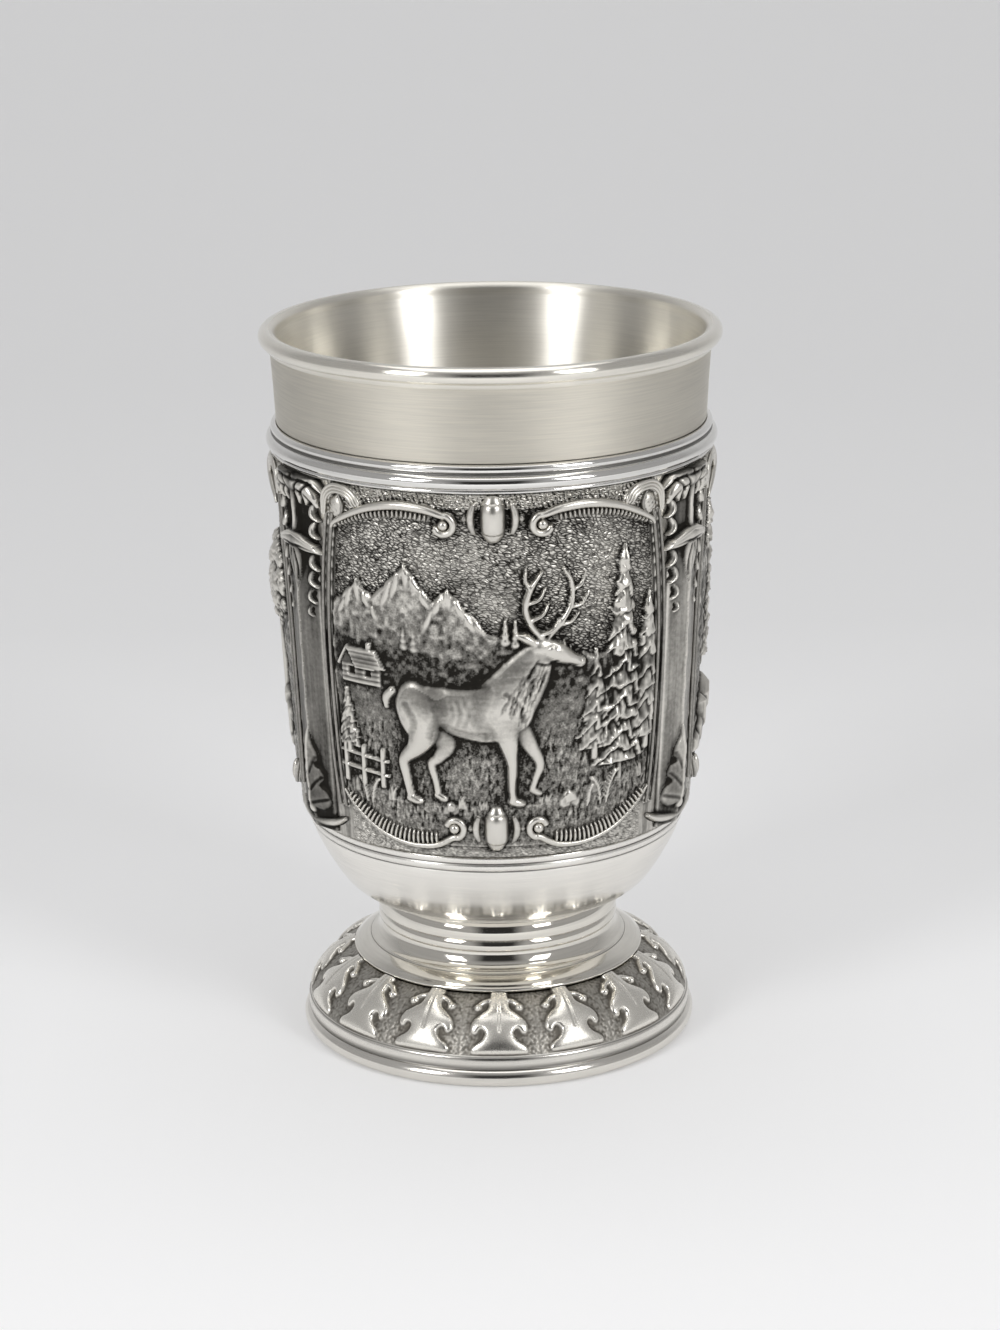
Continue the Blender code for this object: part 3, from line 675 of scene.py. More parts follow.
def fir(sheet, x, foot, top, half_width, height, base=0.0):
    """A fir: tiers of drooping boughs, each fringed with needles, over a short trunk."""
    tall = top - foot
    area = sheet.window(x - half_width, x + half_width, foot, top)
    down = unit((top - sheet.z[area]) / tall)
    lean = (sheet.x[area] - x) / half_width
    ragged = (0.6 * sheet.noise(0.5, 0.6) + 0.4 * sheet.noise(0.24, 0.7))[area]
    tiers = max(5, round(tall / 1.7))
    sway = 0.28 * ragged + 0.22 * np.sin(9.0 * lean + 40.0 * down)
    phase = (down * tiers * (0.78 + 0.22 * down) - 0.9 * np.abs(lean) + sway) % 1.0
    reach = down**0.85 * (0.6 + 0.4 * phase) + (0.18 + 0.16 * ragged) / half_width
    across = unit(np.abs(lean) / reach)
    bough = 0.4 + 0.6 * np.minimum(phase, 7.0 * (1.0 - phase))
    form = height * np.sqrt(1.0 - across**2) * bough * (1.0 + 0.22 * ragged)
    sheet.limb([(x, foot, 0.35, 0.35), (x, foot + 0.12 * tall, 0.3, 0.35)], base)
    sheet.lay(area, np.where(down < 0.93, form, 0.0), base)


def tuft(sheet, x, z, blades, tall):
    """A tuft of grass blades that lean apart."""
    for _ in range(blades):
        lean = sheet.random.uniform(-0.5, 0.5)
        size = tall * sheet.random.uniform(0.6, 1.0)
        start = x + sheet.random.uniform(-0.35, 0.35)
        middle = (start + lean * 0.4 * size, z + 0.6 * size, 0.12, 0.3)
        tip = (start + lean * size, z + size, 0.06, 0.15)
        sheet.limb([(start, z, 0.13, 0.3), middle, tip], 0.05, steps=2)


def rock(sheet, x, z, size, height):
    """A boulder of a few split faces."""
    for across, up, scale in ((-0.55, -0.15, 0.85), (0.5, -0.2, 0.8), (0.0, 0.2, 1.0)):
        reach = scale * size
        place = (x + across * size, z + up * size)
        area = sheet.window(place[0] - reach, place[0] + reach, place[1] - reach, place[1] + reach)
        right, above = sheet.x[area] - place[0], sheet.z[area] - place[1]
        form = np.full_like(right, 0.85)
        for turn in np.radians(np.arange(0.0, 360.0, 60.0) + sheet.random.uniform(-20.0, 20.0, 6)):
            steep = sheet.random.uniform(1.0, 2.2)
            away = (right * math.cos(turn) + above * math.sin(turn)) / (0.8 * reach)
            form = np.minimum(form, 0.25 + steep * (1.0 - away - sheet.random.uniform(0.0, 0.25)))
        sheet.lay(area, np.where(form > 0.25, height * scale * form, 0.0), 0.06)


def fern(sheet, x, z, size, lean):
    """A fern frond: a curved rib with leaflets that shorten towards its tip."""
    middle = [(x + 0.35 * lean, z + 0.55 * size), (x + lean, z + 0.9 * size)]
    rib = smooth([(x, z), *middle, (x + 1.5 * lean, z + size)], 4)
    for i, (px, pz) in enumerate(rib[1:]):
        left = 1.0 - i / (len(rib) - 2)
        for side in (-1, 1):
            tip = (px + side * size * (0.05 + 0.137 * left), pz + 0.16 * size * left + 0.1, 0.06, 0.22)
            sheet.limb([(px, pz, 0.13, 0.34), tip], 0.1)
    sheet.limb([(px, pz, 0.09, 0.36) for px, pz in rib], 0.12, steps=1)


def square(left, low, right, high):
    """The corners of an upright rectangle."""
    return [(left, low), (right, low), (right, high), (left, high)]


def hut(sheet, x, z):
    """A log hut with a shingled roof, two windows and a chimney."""
    logs = 0.44 + 0.1 * np.abs(np.sin(math.pi * (sheet.z - z) / 0.48))
    shingles = 0.6 + 0.1 * ((sheet.z - z) / 0.42 % 1.0)
    sheet.block(square(x - 2.3, z, x + 2.1, z + 1.9), logs)
    sheet.block([(x - 2.3, z + 1.9), (x - 0.6, z + 1.9), (x - 1.45, z + 3.3)], 0.46)
    roof = [(x - 1.65, z + 3.55), (x + 1.75, z + 3.45), (x + 2.7, z + 1.65), (x - 0.55, z + 1.6)]
    sheet.block(roof, shingles)
    sheet.limb([(x - 2.75, z + 1.65, 0.2, 0.6), (x - 1.55, z + 3.5, 0.2, 0.65)])
    for left, low in ((x + 0.4, z + 0.75), (x - 1.5, z + 0.85)):
        area, held = sheet.inside(square(left, low, left + 0.75, low + 0.75))
        sheet.h[area] = np.where(held, 0.18, sheet.h[area])
    sheet.block(square(x + 0.7, z + 3.0, x + 1.25, z + 4.1), 0.6)


def fence(sheet, x, z):
    """Three posts with two rails."""
    for across in (0.0, 2.2, 4.4):
        sheet.limb([(x + across, z, 0.26, 0.5), (x + across + 0.08, z + 3.6, 0.24, 0.5)], 0.1)
    for up in (1.3, 2.7):
        ends = [(x - 1.1, z + up + 0.2, 0.19, 0.42), (x + 5.0, z + up - 0.25, 0.17, 0.4)]
        sheet.limb([ends[0], (x + 2.2, z + up, 0.19, 0.42), ends[1]], 0.12)


def stag(sheet, shift):
    """A stag that steps to the right, its far legs and far antler lower than the near ones."""
    far, near, antler = 0.1, 0.25, 0.2

    def limb(stations, base, soft=0.0):
        sheet.limb([(x + shift, *rest) for x, *rest in stations], base, soft=soft)

    def groove(points, width, depth):
        sheet.groove([(x + shift, z) for x, z in points], width, depth)

    far_fore_leg = [
        (2.2, 36.0, 1.1, 0.5), (3.3, 34.2, 0.72, 0.45), (4.15, 32.5, 0.46, 0.42), (3.75, 31.0, 0.33, 0.36),
        (3.45, 30.1, 0.32, 0.36),
    ]
    far_fore_hoof = [(3.45, 30.0, 0.34, 0.38), (3.85, 29.7, 0.34, 0.36), (4.15, 29.55, 0.26, 0.3)]
    far_hind_leg = [
        (-5.6, 36.0, 1.5, 0.5), (-4.7, 34.4, 1.0, 0.45), (-5.4, 33.1, 0.6, 0.42), (-6.05, 32.4, 0.48, 0.42),
        (-5.75, 30.8, 0.34, 0.36), (-5.55, 29.7, 0.33, 0.36),
    ]
    far_hind_hoof = [(-5.6, 29.4, 0.38, 0.38), (-5.1, 29.1, 0.36, 0.36), (-4.85, 29.0, 0.28, 0.3)]
    far_beam = [
        (4.9, 44.7, 0.26, 0.42), (6.2, 46.2, 0.26, 0.4), (7.1, 48.0, 0.25, 0.38), (7.0, 49.9, 0.22, 0.36),
        (6.3, 51.2, 0.12, 0.3),
    ]
    far_tines = [
        [(5.9, 45.8, 0.22, 0.38), (7.0, 46.0, 0.18, 0.34), (7.8, 46.8, 0.09, 0.25)],
        [(6.9, 47.4, 0.22, 0.36), (8.0, 47.6, 0.17, 0.32), (8.7, 48.5, 0.09, 0.25)],
        [(7.1, 49.0, 0.2, 0.34), (8.0, 49.5, 0.16, 0.3), (8.4, 50.5, 0.09, 0.25)],
    ]
    for form in (far_fore_leg, far_fore_hoof, far_hind_leg, far_hind_hoof, far_beam, *far_tines):
        limb(form, far)
    tail = [(-9.7, 39.3, 0.45, 0.5), (-10.3, 38.6, 0.45, 0.5), (-10.4, 37.6, 0.16, 0.35)]
    trunk = [
        (-7.3, 38.1, 2.2, 0.62), (-5.0, 38.0, 2.15, 0.66), (-2.8, 37.6, 2.45, 0.78), (-0.6, 37.5, 2.75, 0.85),
        (1.0, 37.9, 2.6, 0.85),
    ]
    neck = [
        (0.5, 38.3, 2.75, 0.75), (2.0, 40.4, 2.35, 0.78), (3.3, 42.2, 1.85, 0.76), (4.1, 43.4, 1.3, 0.72)
    ]
    throat = [(1.7, 37.2, 1.5, 0.6), (2.9, 39.3, 1.4, 0.62), (4.0, 41.3, 1.1, 0.6), (4.5, 42.4, 0.7, 0.55)]
    head = [
        (4.1, 43.7, 1.2, 0.74), (5.5, 43.3, 1.02, 0.72), (6.9, 42.6, 0.66, 0.64), (7.9, 42.15, 0.54, 0.6)
    ]
    shoulder = [(0.2, 39.2, 1.3, 0.55), (0.7, 37.6, 1.7, 0.78), (0.9, 35.8, 1.3, 0.72)]
    fore_leg = [
        (0.9, 36.4, 1.35, 0.72), (1.15, 35.0, 1.0, 0.7), (1.5, 32.9, 0.56, 0.62), (1.55, 31.8, 0.47, 0.58),
        (1.5, 30.1, 0.35, 0.54), (1.6, 29.2, 0.4, 0.54),
    ]
    fore_hoof = [(1.55, 28.95, 0.46, 0.55), (2.1, 28.75, 0.42, 0.52), (2.5, 28.65, 0.3, 0.42)]
    hind_leg = [
        (-7.6, 39.0, 1.5, 0.6), (-7.2, 37.3, 2.05, 0.85), (-6.8, 35.7, 1.6, 0.84), (-7.4, 34.1, 1.0, 0.74),
        (-8.7, 32.7, 0.6, 0.66), (-8.6, 31.2, 0.44, 0.58), (-8.4, 30.0, 0.37, 0.52), (-8.2, 29.2, 0.4, 0.52),
    ]
    hind_hoof = [(-8.25, 28.95, 0.46, 0.55), (-7.7, 28.75, 0.42, 0.52), (-7.3, 28.65, 0.3, 0.42)]
    ear = [(3.7, 44.3, 0.32, 0.6), (2.8, 44.8, 0.5, 0.62), (1.9, 45.2, 0.12, 0.45)]
    for form, base, soft in (
        (tail, near, 0.0), (trunk, near, 0.0), (neck, near, 0.35), (throat, near, 0.3), (head, 0.28, 0.15),
        (shoulder, near, 0.35), (fore_leg, near, 0.15), (fore_hoof, near, 0.0), (hind_leg, near, 0.3),
        (hind_hoof, near, 0.0), (ear, 0.35, 0.0),
    ):
        limb(form, base, soft)
    beam = [
        (4.35, 44.6, 0.34, 0.62), (3.3, 46.0, 0.32, 0.58), (2.8, 47.7, 0.3, 0.54), (3.3, 49.5, 0.27, 0.52),
        (4.3, 51.0, 0.13, 0.42),
    ]
    tines = [
        [(4.1, 45.0, 0.26, 0.56), (5.2, 45.4, 0.2, 0.5), (5.9, 46.4, 0.1, 0.36)],
        [(3.15, 46.4, 0.24, 0.52), (4.3, 46.9, 0.19, 0.48), (4.9, 47.9, 0.1, 0.36)],
        [(2.85, 48.0, 0.24, 0.5), (4.0, 48.4, 0.18, 0.46), (4.6, 49.4, 0.1, 0.36)],
        [(3.2, 49.3, 0.22, 0.48), (2.8, 50.3, 0.17, 0.42), (2.9, 51.3, 0.09, 0.3)],
    ]
    for form in (beam, *tines):
        limb(form, antler)
    eye = [(5.15, 43.75, 0.22, 0.16), (5.2, 43.75, 0.22, 0.16)]
    limb(eye, 0.9)
    groove([(4.85, 43.95), (5.2, 44.05), (5.6, 43.8)], 0.12, 0.14)
    groove([(7.95, 41.95), (7.3, 41.95), (6.7, 42.15)], 0.1, 0.16)
    groove([(7.75, 42.5), (7.9, 42.4)], 0.12, 0.14)
    groove([(3.9, 42.4), (4.6, 42.2), (5.6, 42.5)], 0.22, 0.14)
    groove([(-0.9, 39.8), (-1.6, 37.6), (-0.6, 35.6)], 0.9, 0.09)
    groove([(-5.3, 39.4), (-4.8, 37.4), (-5.6, 35.6)], 0.9, 0.09)
    groove([(-4.6, 36.2), (-2.8, 35.6), (-1.0, 35.4)], 0.6, 0.08)
    for x in (-4.0, -3.3, -2.6):
        groove([(x, 38.8), (x + 0.25, 37.6), (x - 0.1, 36.5)], 0.26, 0.03)
    groove([(1.0, 39.6), (2.2, 38.4), (2.6, 37.0)], 0.35, 0.1)
    groove([(-8.2, 38.2), (-7.4, 36.6), (-7.9, 35.0)], 0.5, 0.1)
    for _ in range(90):
        along = sheet.random.uniform(0.0, 1.0)
        across = sheet.random.uniform(-0.2, 1.0)
        x = 1.0 + 3.0 * along + across * (2.0 - 1.1 * along)
        z = 38.4 + 4.4 * along - across * (1.5 - 0.7 * along)
        groove([(x, z), (x - 0.25, z - 0.45), (x - 0.35, z - 0.95)], 0.13, 0.045)
    sheet.h += np.where(sheet.h > 0.75, 0.012 * sheet.noise(0.9, 0.2), 0.0)
    # The stag's body is painted lighter and darker in soft patches: painted shade that models its form.
    sheet.rubbed += np.where(sheet.h > 0.75, 0.12 * sheet.noise(2.6, 1.7) - 0.06, 0.0)


def degrees_line(side, points):
    """A line given in degrees from the panel's middle, on one side, as flat drawing points."""
    return [(side * math.radians(angle) * FLAT_RADIUS, *rest) for angle, *rest in points]


def scroll_line(side, line, eye, start, end):
    """A scroll's edge from its thin outer end to its volute, as stations of (x, z, thickness)."""
    turns = np.radians(np.linspace(start, end, 9))
    radii = np.linspace(0.98, 0.76, 9)
    centre = (math.radians(eye[0]) * FLAT_RADIUS, eye[1])
    curl = zip(centre[0] + radii * np.cos(turns), centre[1] + radii * np.sin(turns))
    return smooth([*degrees_line(side, line), *[(side * x, z, 0.32) for x, z in curl]], 4)


RAIL_LINE = [
    (45.9, 55.4), (46.6, 54.0), (48.3, 49.5), (49.5, 43.7), (49.5, 37.5), (48.9, 31.4),
    (47.9, 27.6), (47.4, 26.6),
]
RAIL_HALF_GAP, RAIL_BORDER = 1.15, 0.9
RAIL_MIDDLE, RAIL_HALF_LENGTH = 40.9, 14.4
TOP_EYE, BOTTOM_EYE, EYE_RADIUS = (12.4, 55.5), (11.5, 26.2), 0.5
CLASPS = ((56.1, 1.3), (26.2, 1.15))
TOP_SCROLL = [
    (44.8, 54.1, 0.14), (43.0, 54.8, 0.24), (34.0, 56.4, 0.36), (25.0, 57.1, 0.42), (17.5, 56.95, 0.4)
]
BOTTOM_SCROLL = [
    (46.0, 28.4, 0.14), (42.0, 27.0, 0.18), (34.0, 25.2, 0.22), (25.0, 24.3, 0.25), (17.0, 24.4, 0.3)
]


def frame_lines():
    """Every moulding of the frame as (stations of (x, z, thickness), lift), then the ribbed edges."""
    lips, ribs = [], []
    for middle, tall in CLASPS:
        half = [(0.55, 1.19), (1.15, 1.12), (1.48, 0.92), (1.62, 0.6)]
        barrel = [*[(-up, thick) for up, thick in half[::-1]], *half]
        lips.append(([(0.0, middle + up, thick) for up, thick in barrel], -0.08))
        for side in (-1, 1):
            bar = [(side * (1.68 + 0.3 * (1 - up * up)), middle + tall * up, 0.36 - 0.14 * up * up)
                   for up in (-1.0, -0.5, 0.0, 0.5, 1.0)]
            lips.append((bar, 0.32))
            drop = ((-0.3, 0.12), (0.0, 0.34), (0.3, 0.12))
            lips.append(([(side * 2.5, middle + up, thick) for up, thick in drop], 0.2))
    for side in (-1, 1):
        for shift in (-RAIL_HALF_GAP, RAIL_HALF_GAP):
            rail = [(angle + shift, z, 0.17) for angle, z in RAIL_LINE]
            lips.append((smooth(degrees_line(side, rail), 5), 0.3))
        tongue = np.array(smooth(degrees_line(side, [
            (47.3, 55.2, 0.26), (46.7, 56.9, 0.42), (44.0, 57.8, 0.48), (40.4, 57.85, 0.48),
            (37.6, 57.4, 0.52), (36.2, 56.8, 0.52), (35.8, 56.5, 0.34),
        ]), 5))
        along = np.gradient(tongue[:, :2], axis=0)
        across = along[:, ::-1] * (-1.0, 1.0) / np.linalg.norm(along, axis=1, keepdims=True)
        lips.append(([(x, z, 0.85 * thick) for x, z, thick in tongue], 0.18))
        for shift in (-0.62, 0.0, 0.62):
            ridge = tongue[:, :2] + shift * tongue[:, 2:] * across
            lips.append(([(x, z, 0.36 * thick) for (x, z), thick in zip(ridge, tongue[:, 2])], 0.62))
        fold = [(42.4, 57.2, 0.14), (41.2, 56.4, 0.2), (41.4, 55.6, 0.18), (42.6, 55.1, 0.1)]
        lips.append((smooth(degrees_line(side, fold), 5), 0.3))
        lips.append((scroll_line(side, TOP_SCROLL, TOP_EYE, 78, 340), 0.55))
        lips.append((scroll_line(side, BOTTOM_SCROLL, BOTTOM_EYE, 282, 20), 0.42))
        for x, z in degrees_line(side, (TOP_EYE, BOTTOM_EYE)):
            heights = EYE_RADIUS * np.linspace(-1.0, 1.0, 9)
            ball = [(x, z + up, max(math.sqrt(EYE_RADIUS**2 - up**2), 0.05)) for up in heights]
            lips.append((ball, 0.42))
        upper = [(42.0, 54.55, 0.26), (34.0, 55.75, 0.4), (25.0, 56.3, 0.46), (17.0, 56.1, 0.44)]
        lower = [(43.5, 28.0, 0.48), (34.0, 26.0, 0.72), (25.0, 25.15, 0.78), (16.5, 25.2, 0.66)]
        ribs.append((smooth(degrees_line(side, upper), 6), 0.24))
        ribs.append((smooth(degrees_line(side, lower), 6), 0.4))
    return lips, ribs


def new_tree(name, result, **inputs):
    """A Geometry Nodes tree with its result's socket and its named inputs, and those inputs to build on."""
    tree = bpy.data.node_groups.new(name, "GeometryNodeTree")
    for label, kind in inputs.items():
        tree.interface.new_socket(label.replace("_", " "), in_out="INPUT", socket_type=f"NodeSocket{kind}")
    tree.interface.new_socket(result, in_out="OUTPUT", socket_type="NodeSocketGeometry")
    given = tree.nodes.new("NodeGroupInput")
    return tree, [Shade(tree, given.outputs[i]) for i in range(len(inputs))]


def frame_tree(material):
    """Geometry Nodes: sweeps a round moulding along each line and sets ribs along the ribbed edges."""
    tree, (lines, sides, spacing, half_width, height) = new_tree(
        "frame_mouldings", "Frame", Lines="Geometry", Moulding_Sides="Int",
        Rib_Spacing="Float", Rib_Half_Width="Float", Rib_Height="Float",
    )
    named = "GeometryNodeInputNamedAttribute"
    thickness = lines.node(named, {"data_type": "FLOAT"}, Name="thickness")
    ribbed = lines.node(named, {"data_type": "FLOAT"}, Name="ribbed")
    outward = lines.node(named, {"data_type": "FLOAT_VECTOR"}, Name="outward")
    plain_line = lines.node("GeometryNodeMeshToCurve", Mesh=lines, Selection=1.0 - ribbed)
    circle = lines.node("GeometryNodeCurvePrimitiveCircle", Resolution=sides, Radius=1.0)
    mouldings = lines.node(
        "GeometryNodeCurveToMesh", Curve=plain_line, Profile_Curve=circle, Scale=thickness, Fill_Caps=True
    )
    rib_line = lines.node("GeometryNodeMeshToCurve", Mesh=lines, Selection=ribbed)
    stops = lines.node("GeometryNodeResampleCurve", {"mode": "LENGTH"}, Curve=rib_line, Length=spacing)
    tangent = lines.node("GeometryNodeInputTangent")
    turn = lines.node(
        "FunctionNodeAxesToRotation", {"primary_axis": "Z", "secondary_axis": "X"},
        Primary_Axis=outward, Secondary_Axis=tangent,
    )
    bead = lines.node("GeometryNodeMeshUVSphere", Segments=10, Rings=7, Radius=1.0)
    size = lines.node("ShaderNodeCombineXYZ", X=half_width, Y=thickness, Z=height)
    ribs = lines.node("GeometryNodeInstanceOnPoints", Points=stops, Instance=bead, Rotation=turn, Scale=size)
    joined = tree.nodes.new("GeometryNodeJoinGeometry")
    for part in (ribs, mouldings):
        tree.links.new(part.socket, joined.inputs[0])
    real = lines.node("GeometryNodeRealizeInstances", Geometry=Shade(tree, joined.outputs[0]))
    dressed = lines.node("GeometryNodeSetMaterial", Geometry=real, Material=material)
    tree.links.new(dressed.socket, tree.nodes.new("NodeGroupOutput").inputs[0])
    return tree


def grown(carrier, tree, **values):
    """The plain mesh that a node tree makes of a carrier object, which is then removed."""
    modifier = carrier.modifiers.new("grown", "NODES")
    modifier.node_group = tree
    for item in tree.interface.items_tree:
        if item.in_out == "INPUT" and item.name.replace(" ", "_") in values:
            modifier[item.identifier] = values[item.name.replace(" ", "_")]
    evaluated = carrier.evaluated_get(bpy.context.evaluated_depsgraph_get())
    mesh = bpy.data.meshes.new_from_object(evaluated)
    carrier.modifiers.clear()
    bpy.data.objects.remove(carrier)
    mesh.shade_smooth()
    return mesh


def frame_mesh(material):
    """The frame's lines as a carrier of edges with their attributes, and the mesh grown from it."""
    lips, ribs = frame_lines()
    points, edges, thickness, outward, ribbed = [], [], [], [], []
    for lines, is_ribbed in ((lips, 0.0), (ribs, 1.0)):
        for stations, lift in lines:
            x, z, thick = np.array(stations).T
            first = len(points)
            points += on_jacket(x, z, lift + 0 * x).tolist()
            edges += [(first + k, first + k + 1) for k in range(len(stations) - 1)]
            thickness += (thick * MM).tolist()
            outward += np.stack([np.sin(x / FLAT_RADIUS), -np.cos(x / FLAT_RADIUS), 0 * x], -1).tolist()
            ribbed += [is_ribbed] * len(stations)
    mesh = bpy.data.meshes.new("frame_lines")
    mesh.from_pydata(points, edges, [])
    mark(mesh, thickness=thickness, ribbed=ribbed)
    mesh.attributes.new("outward", "FLOAT_VECTOR", "POINT").data.foreach_set("vector", np.ravel(outward))
    return grown(
        linked("frame_lines", mesh), frame_tree(material),
        Moulding_Sides=14, Rib_Spacing=0.44 * MM, Rib_Half_Width=0.155 * MM, Rib_Height=0.4 * MM,
    )


PANEL_COLUMNS, PANEL_ROWS = 320, 272


def plate_sheet(seed):
    """A panel's sheet before its picture: punched sky all over, with painted sheen brighter towards the top.
    """
    half_width = math.radians(PANEL_HALF_ANGLE) * FLAT_RADIUS
    sheet = Relief(half_width, JACKET_BOTTOM, JACKET_TOP, PANEL_COLUMNS, PANEL_ROWS, seed)
    sheet.h += 0.05 * sheet.scales(0.62, 0.4) + 0.03 * sheet.noise(2.2, 1.6)
    # The field is painted slightly darker towards the bottom, and the sky brighter towards the top in soft
    # patches: painted sheen.
    sheet.rubbed = -0.02 * unit((36.0 - sheet.z) / 5.0)
    sheet.rubbed += 0.05 + 0.16 * unit((sheet.z - 42.0) / 6.0) * (1.0 + 0.7 * sheet.noise(3.1, 2.2))
    sheet.punched = sheet.punched + 1.0
    return sheet


def both(sheet, stations, base=0.0):
    """A rounded form on each side of a sheet's middle."""
    for side in (-1, 1):
        sheet.limb([(side * x, *rest) for x, *rest in stations], base)


def frame_bed(sheet):
    """What the frame covers: rough ground past the scrolls, flat rails and plain ground beside them."""
    lips, ribs = frame_lines()
    rail = np.array(smooth(degrees_line(1, RAIL_LINE), 5))[::-1]
    top, bottom = (np.array(smooth(degrees_line(1, line), 4))[::-1] for line in (TOP_SCROLL, BOTTOM_SCROLL))
    across = np.abs(sheet.x)
    from_rail = across - np.interp(sheet.z, rail[:, 1], rail[:, 0])
    above = sheet.z > np.interp(across, top[:, 0], top[:, 1])
    below = sheet.z < np.interp(across, bottom[:, 0], bottom[:, 1])
    sway = 0.35 * sheet.noise(0.6, 0.7)
    strokes = np.sin(2 * math.pi * (sheet.x / 0.42 + sheet.z / 1.1 + sway))
    hatch = 0.07 * strokes + 0.05 * sheet.noise(0.24, 0.3)
    sheet.h = np.where(above, 0.1 + hatch, sheet.h)
    sheet.h = np.where(below, 0.05 + 0.04 * sheet.noise(0.5, 0.4) + 0.03 * sheet.noise(0.22, 0.22), sheet.h)
    beside = from_rail > -RAIL_BORDER
    sheet.h = np.where(beside, 0.03 + 0.02 * sheet.noise(0.2, 2.0), sheet.h)
    plain = above | below | beside
    sheet.turf = np.where(plain, 0.0, sheet.turf)
    sheet.punched = np.where(plain, (1.1 * above + 0.4 * below) * (from_rail < -RAIL_BORDER), sheet.punched)
    flat = np.abs(from_rail) < math.radians(RAIL_HALF_GAP) * FLAT_RADIUS
    crown = 0.06 + 0.1 * np.sqrt(unit(1.0 - (from_rail / 0.4)**2)) + 0.03 * sheet.noise(0.2, 3.0)
    sheet.h = np.where(flat & (np.abs(sheet.z - RAIL_MIDDLE) < RAIL_HALF_LENGTH), crown, sheet.h)
    sheet.rubbed -= np.where(flat, 0.12, 0.0)
    # Painted sheen: the hatch above the scrolls is painted brighter, most on its strokes, and the ground
    # below the scrolls a little.
    sheet.rubbed += np.where(above, 0.46 + 0.34 * strokes, 0.0) + np.where(below, 0.22, 0.0)
    sheet.rubbed -= np.where(plain, 0.0, 0.1 * unit((from_rail + 3.4) / 2.5))
    both(sheet, degrees_line(1, [(44.4, 56.1, 1.0, 0.4), (44.4, 55.9, 1.0, 0.4)]))
    knob = np.exp(-((across - 15.5) / 0.9)**2 - ((sheet.z - 56.0) / 0.9)**2)
    sheet.h += 0.06 * knob * np.sin(2 * math.pi * (0.8 * across - sheet.z) / 0.5)
    sheet.rubbed -= 0.4 * knob
    for stations, lift in lips:
        sheet.limb([(x, z, 0.9 * thick, 0.75 * (thick + lift)) for x, z, thick in stations], steps=1)
    for stations, lift in ribs:
        sheet.limb([(x, z, 1.1 * thick, 0.1) for x, z, thick in stations], steps=1)


FERN_FOOT = 27.8


def front_picture(sheet):
    """A stag on a meadow, with a hut and far hills to the left and firs to the right."""
    summits = ((-13.2, 49.6), (-8.2, 51.6), (-4.2, 49.4))
    far = [
        (-21.0, 46.0), (-15.6, 47.4), summits[0], (-11.6, 48.0), summits[1], (-5.6, 48.4), summits[2],
        (-0.6, 45.4), (6.0, 43.2), (21.0, 41.0),
    ]
    hills(sheet, far, 36.0, 0.4, (1.0, 1.9, 6.4), summits)
    near = [
        (-21.0, 43.6), (-16.0, 44.8), (-12.0, 43.8), (-9.0, 44.2), (-5.0, 43.4), (0.0, 41.6), (6.0, 42.0),
        (12.0, 42.8), (21.0, 41.0),
    ]
    hills(sheet, near, 34.0, 0.3, (-8.4, -7.4, 7.0))
    clearing = [
        (-21.0, 37.6), (-12.0, 37.0), (-6.0, 37.8), (0.0, 37.0), (6.0, 36.6), (12.0, 37.6), (21.0, 37.0)
    ]
    meadow(sheet, clearing, 0.16)
    hut(sheet, -13.0, 39.4)
    slope = [
        (-21.0, 34.8), (-12.0, 34.0), (-6.0, 33.2), (0.0, 33.6), (6.0, 34.0), (12.0, 33.4), (21.0, 34.2)
    ]
    meadow(sheet, slope, 0.2)
    for place in (
        (15.6, 32.5, 47.6, 2.6, 0.5, 0.2), (9.6, 32.6, 43.0, 2.1, 0.45, 0.2),
        (12.5, 30.0, 52.6, 3.6, 0.85), (-15.0, 32.6, 38.6, 1.5, 0.4, 0.2),
    ):
        fir(sheet, *place)
    bank = [(-21.0, 30.6), (-12.0, 29.6), (-8.0, 28.9), (0.0, 28.9), (5.0, 29.2), (10.0, 30.2), (21.0, 31.2)]
    meadow(sheet, bank, 0.28)
    grass(sheet, 26.0, 35.0, 420)
    fence(sheet, -15.6, 29.6)
    stag(sheet, 0.0)
    for place in (
        (-10.4, 28.4, 9, 1.5), (-3.2, 28.2, 8, 1.3), (-1.2, 28.1, 6, 1.0), (4.6, 28.4, 8, 1.2),
        (9.6, 29.0, 9, 1.6), (15.0, 29.6, 9, 1.6), (-14.6, 28.6, 8, 1.4),
    ):
        tuft(sheet, *place)
    rock(sheet, 7.2, 28.6, 1.1, 0.5)
    rock(sheet, -4.3, 28.0, 0.8, 0.4)
    for x, size, lean in (
        (11.0, 3.0, 0.9), (10.4, 2.6, -0.7), (9.0, 1.9, 0.3), (-12.6, 2.4, 0.7), (-13.2, 2.2, -0.6)
    ):
        fern(sheet, x, FERN_FOOT, size, lean)


def old_tree(sheet, x, foot, z, radius, height):
    """A broad old tree: a forked trunk under a round crown of leaf clumps."""
    for lean in (-0.45, 0.1, 0.5):
        fork = (x + 0.1, z - 0.7 * radius, 0.5, 0.6)
        sheet.limb([(x, foot, 0.75, 0.6), fork, (x + lean * radius, z, 0.22, 0.5)], 0.15)
    area = sheet.window(x - 1.2 * radius, x + 1.2 * radius, z - 1.2 * radius, z + 1.2 * radius)
    away = np.hypot(sheet.x - x, sheet.z - z) / radius
    clumps = sheet.scales(1.9, 1.6) * 0.7 + 0.3 * sheet.scales(0.55, 0.5)
    dome = np.sqrt(unit(1.0 - (away - 0.22 * clumps + 0.1)**2))
    sheet.lay(area, (height * dome * (0.55 + 0.45 * clumps))[area])


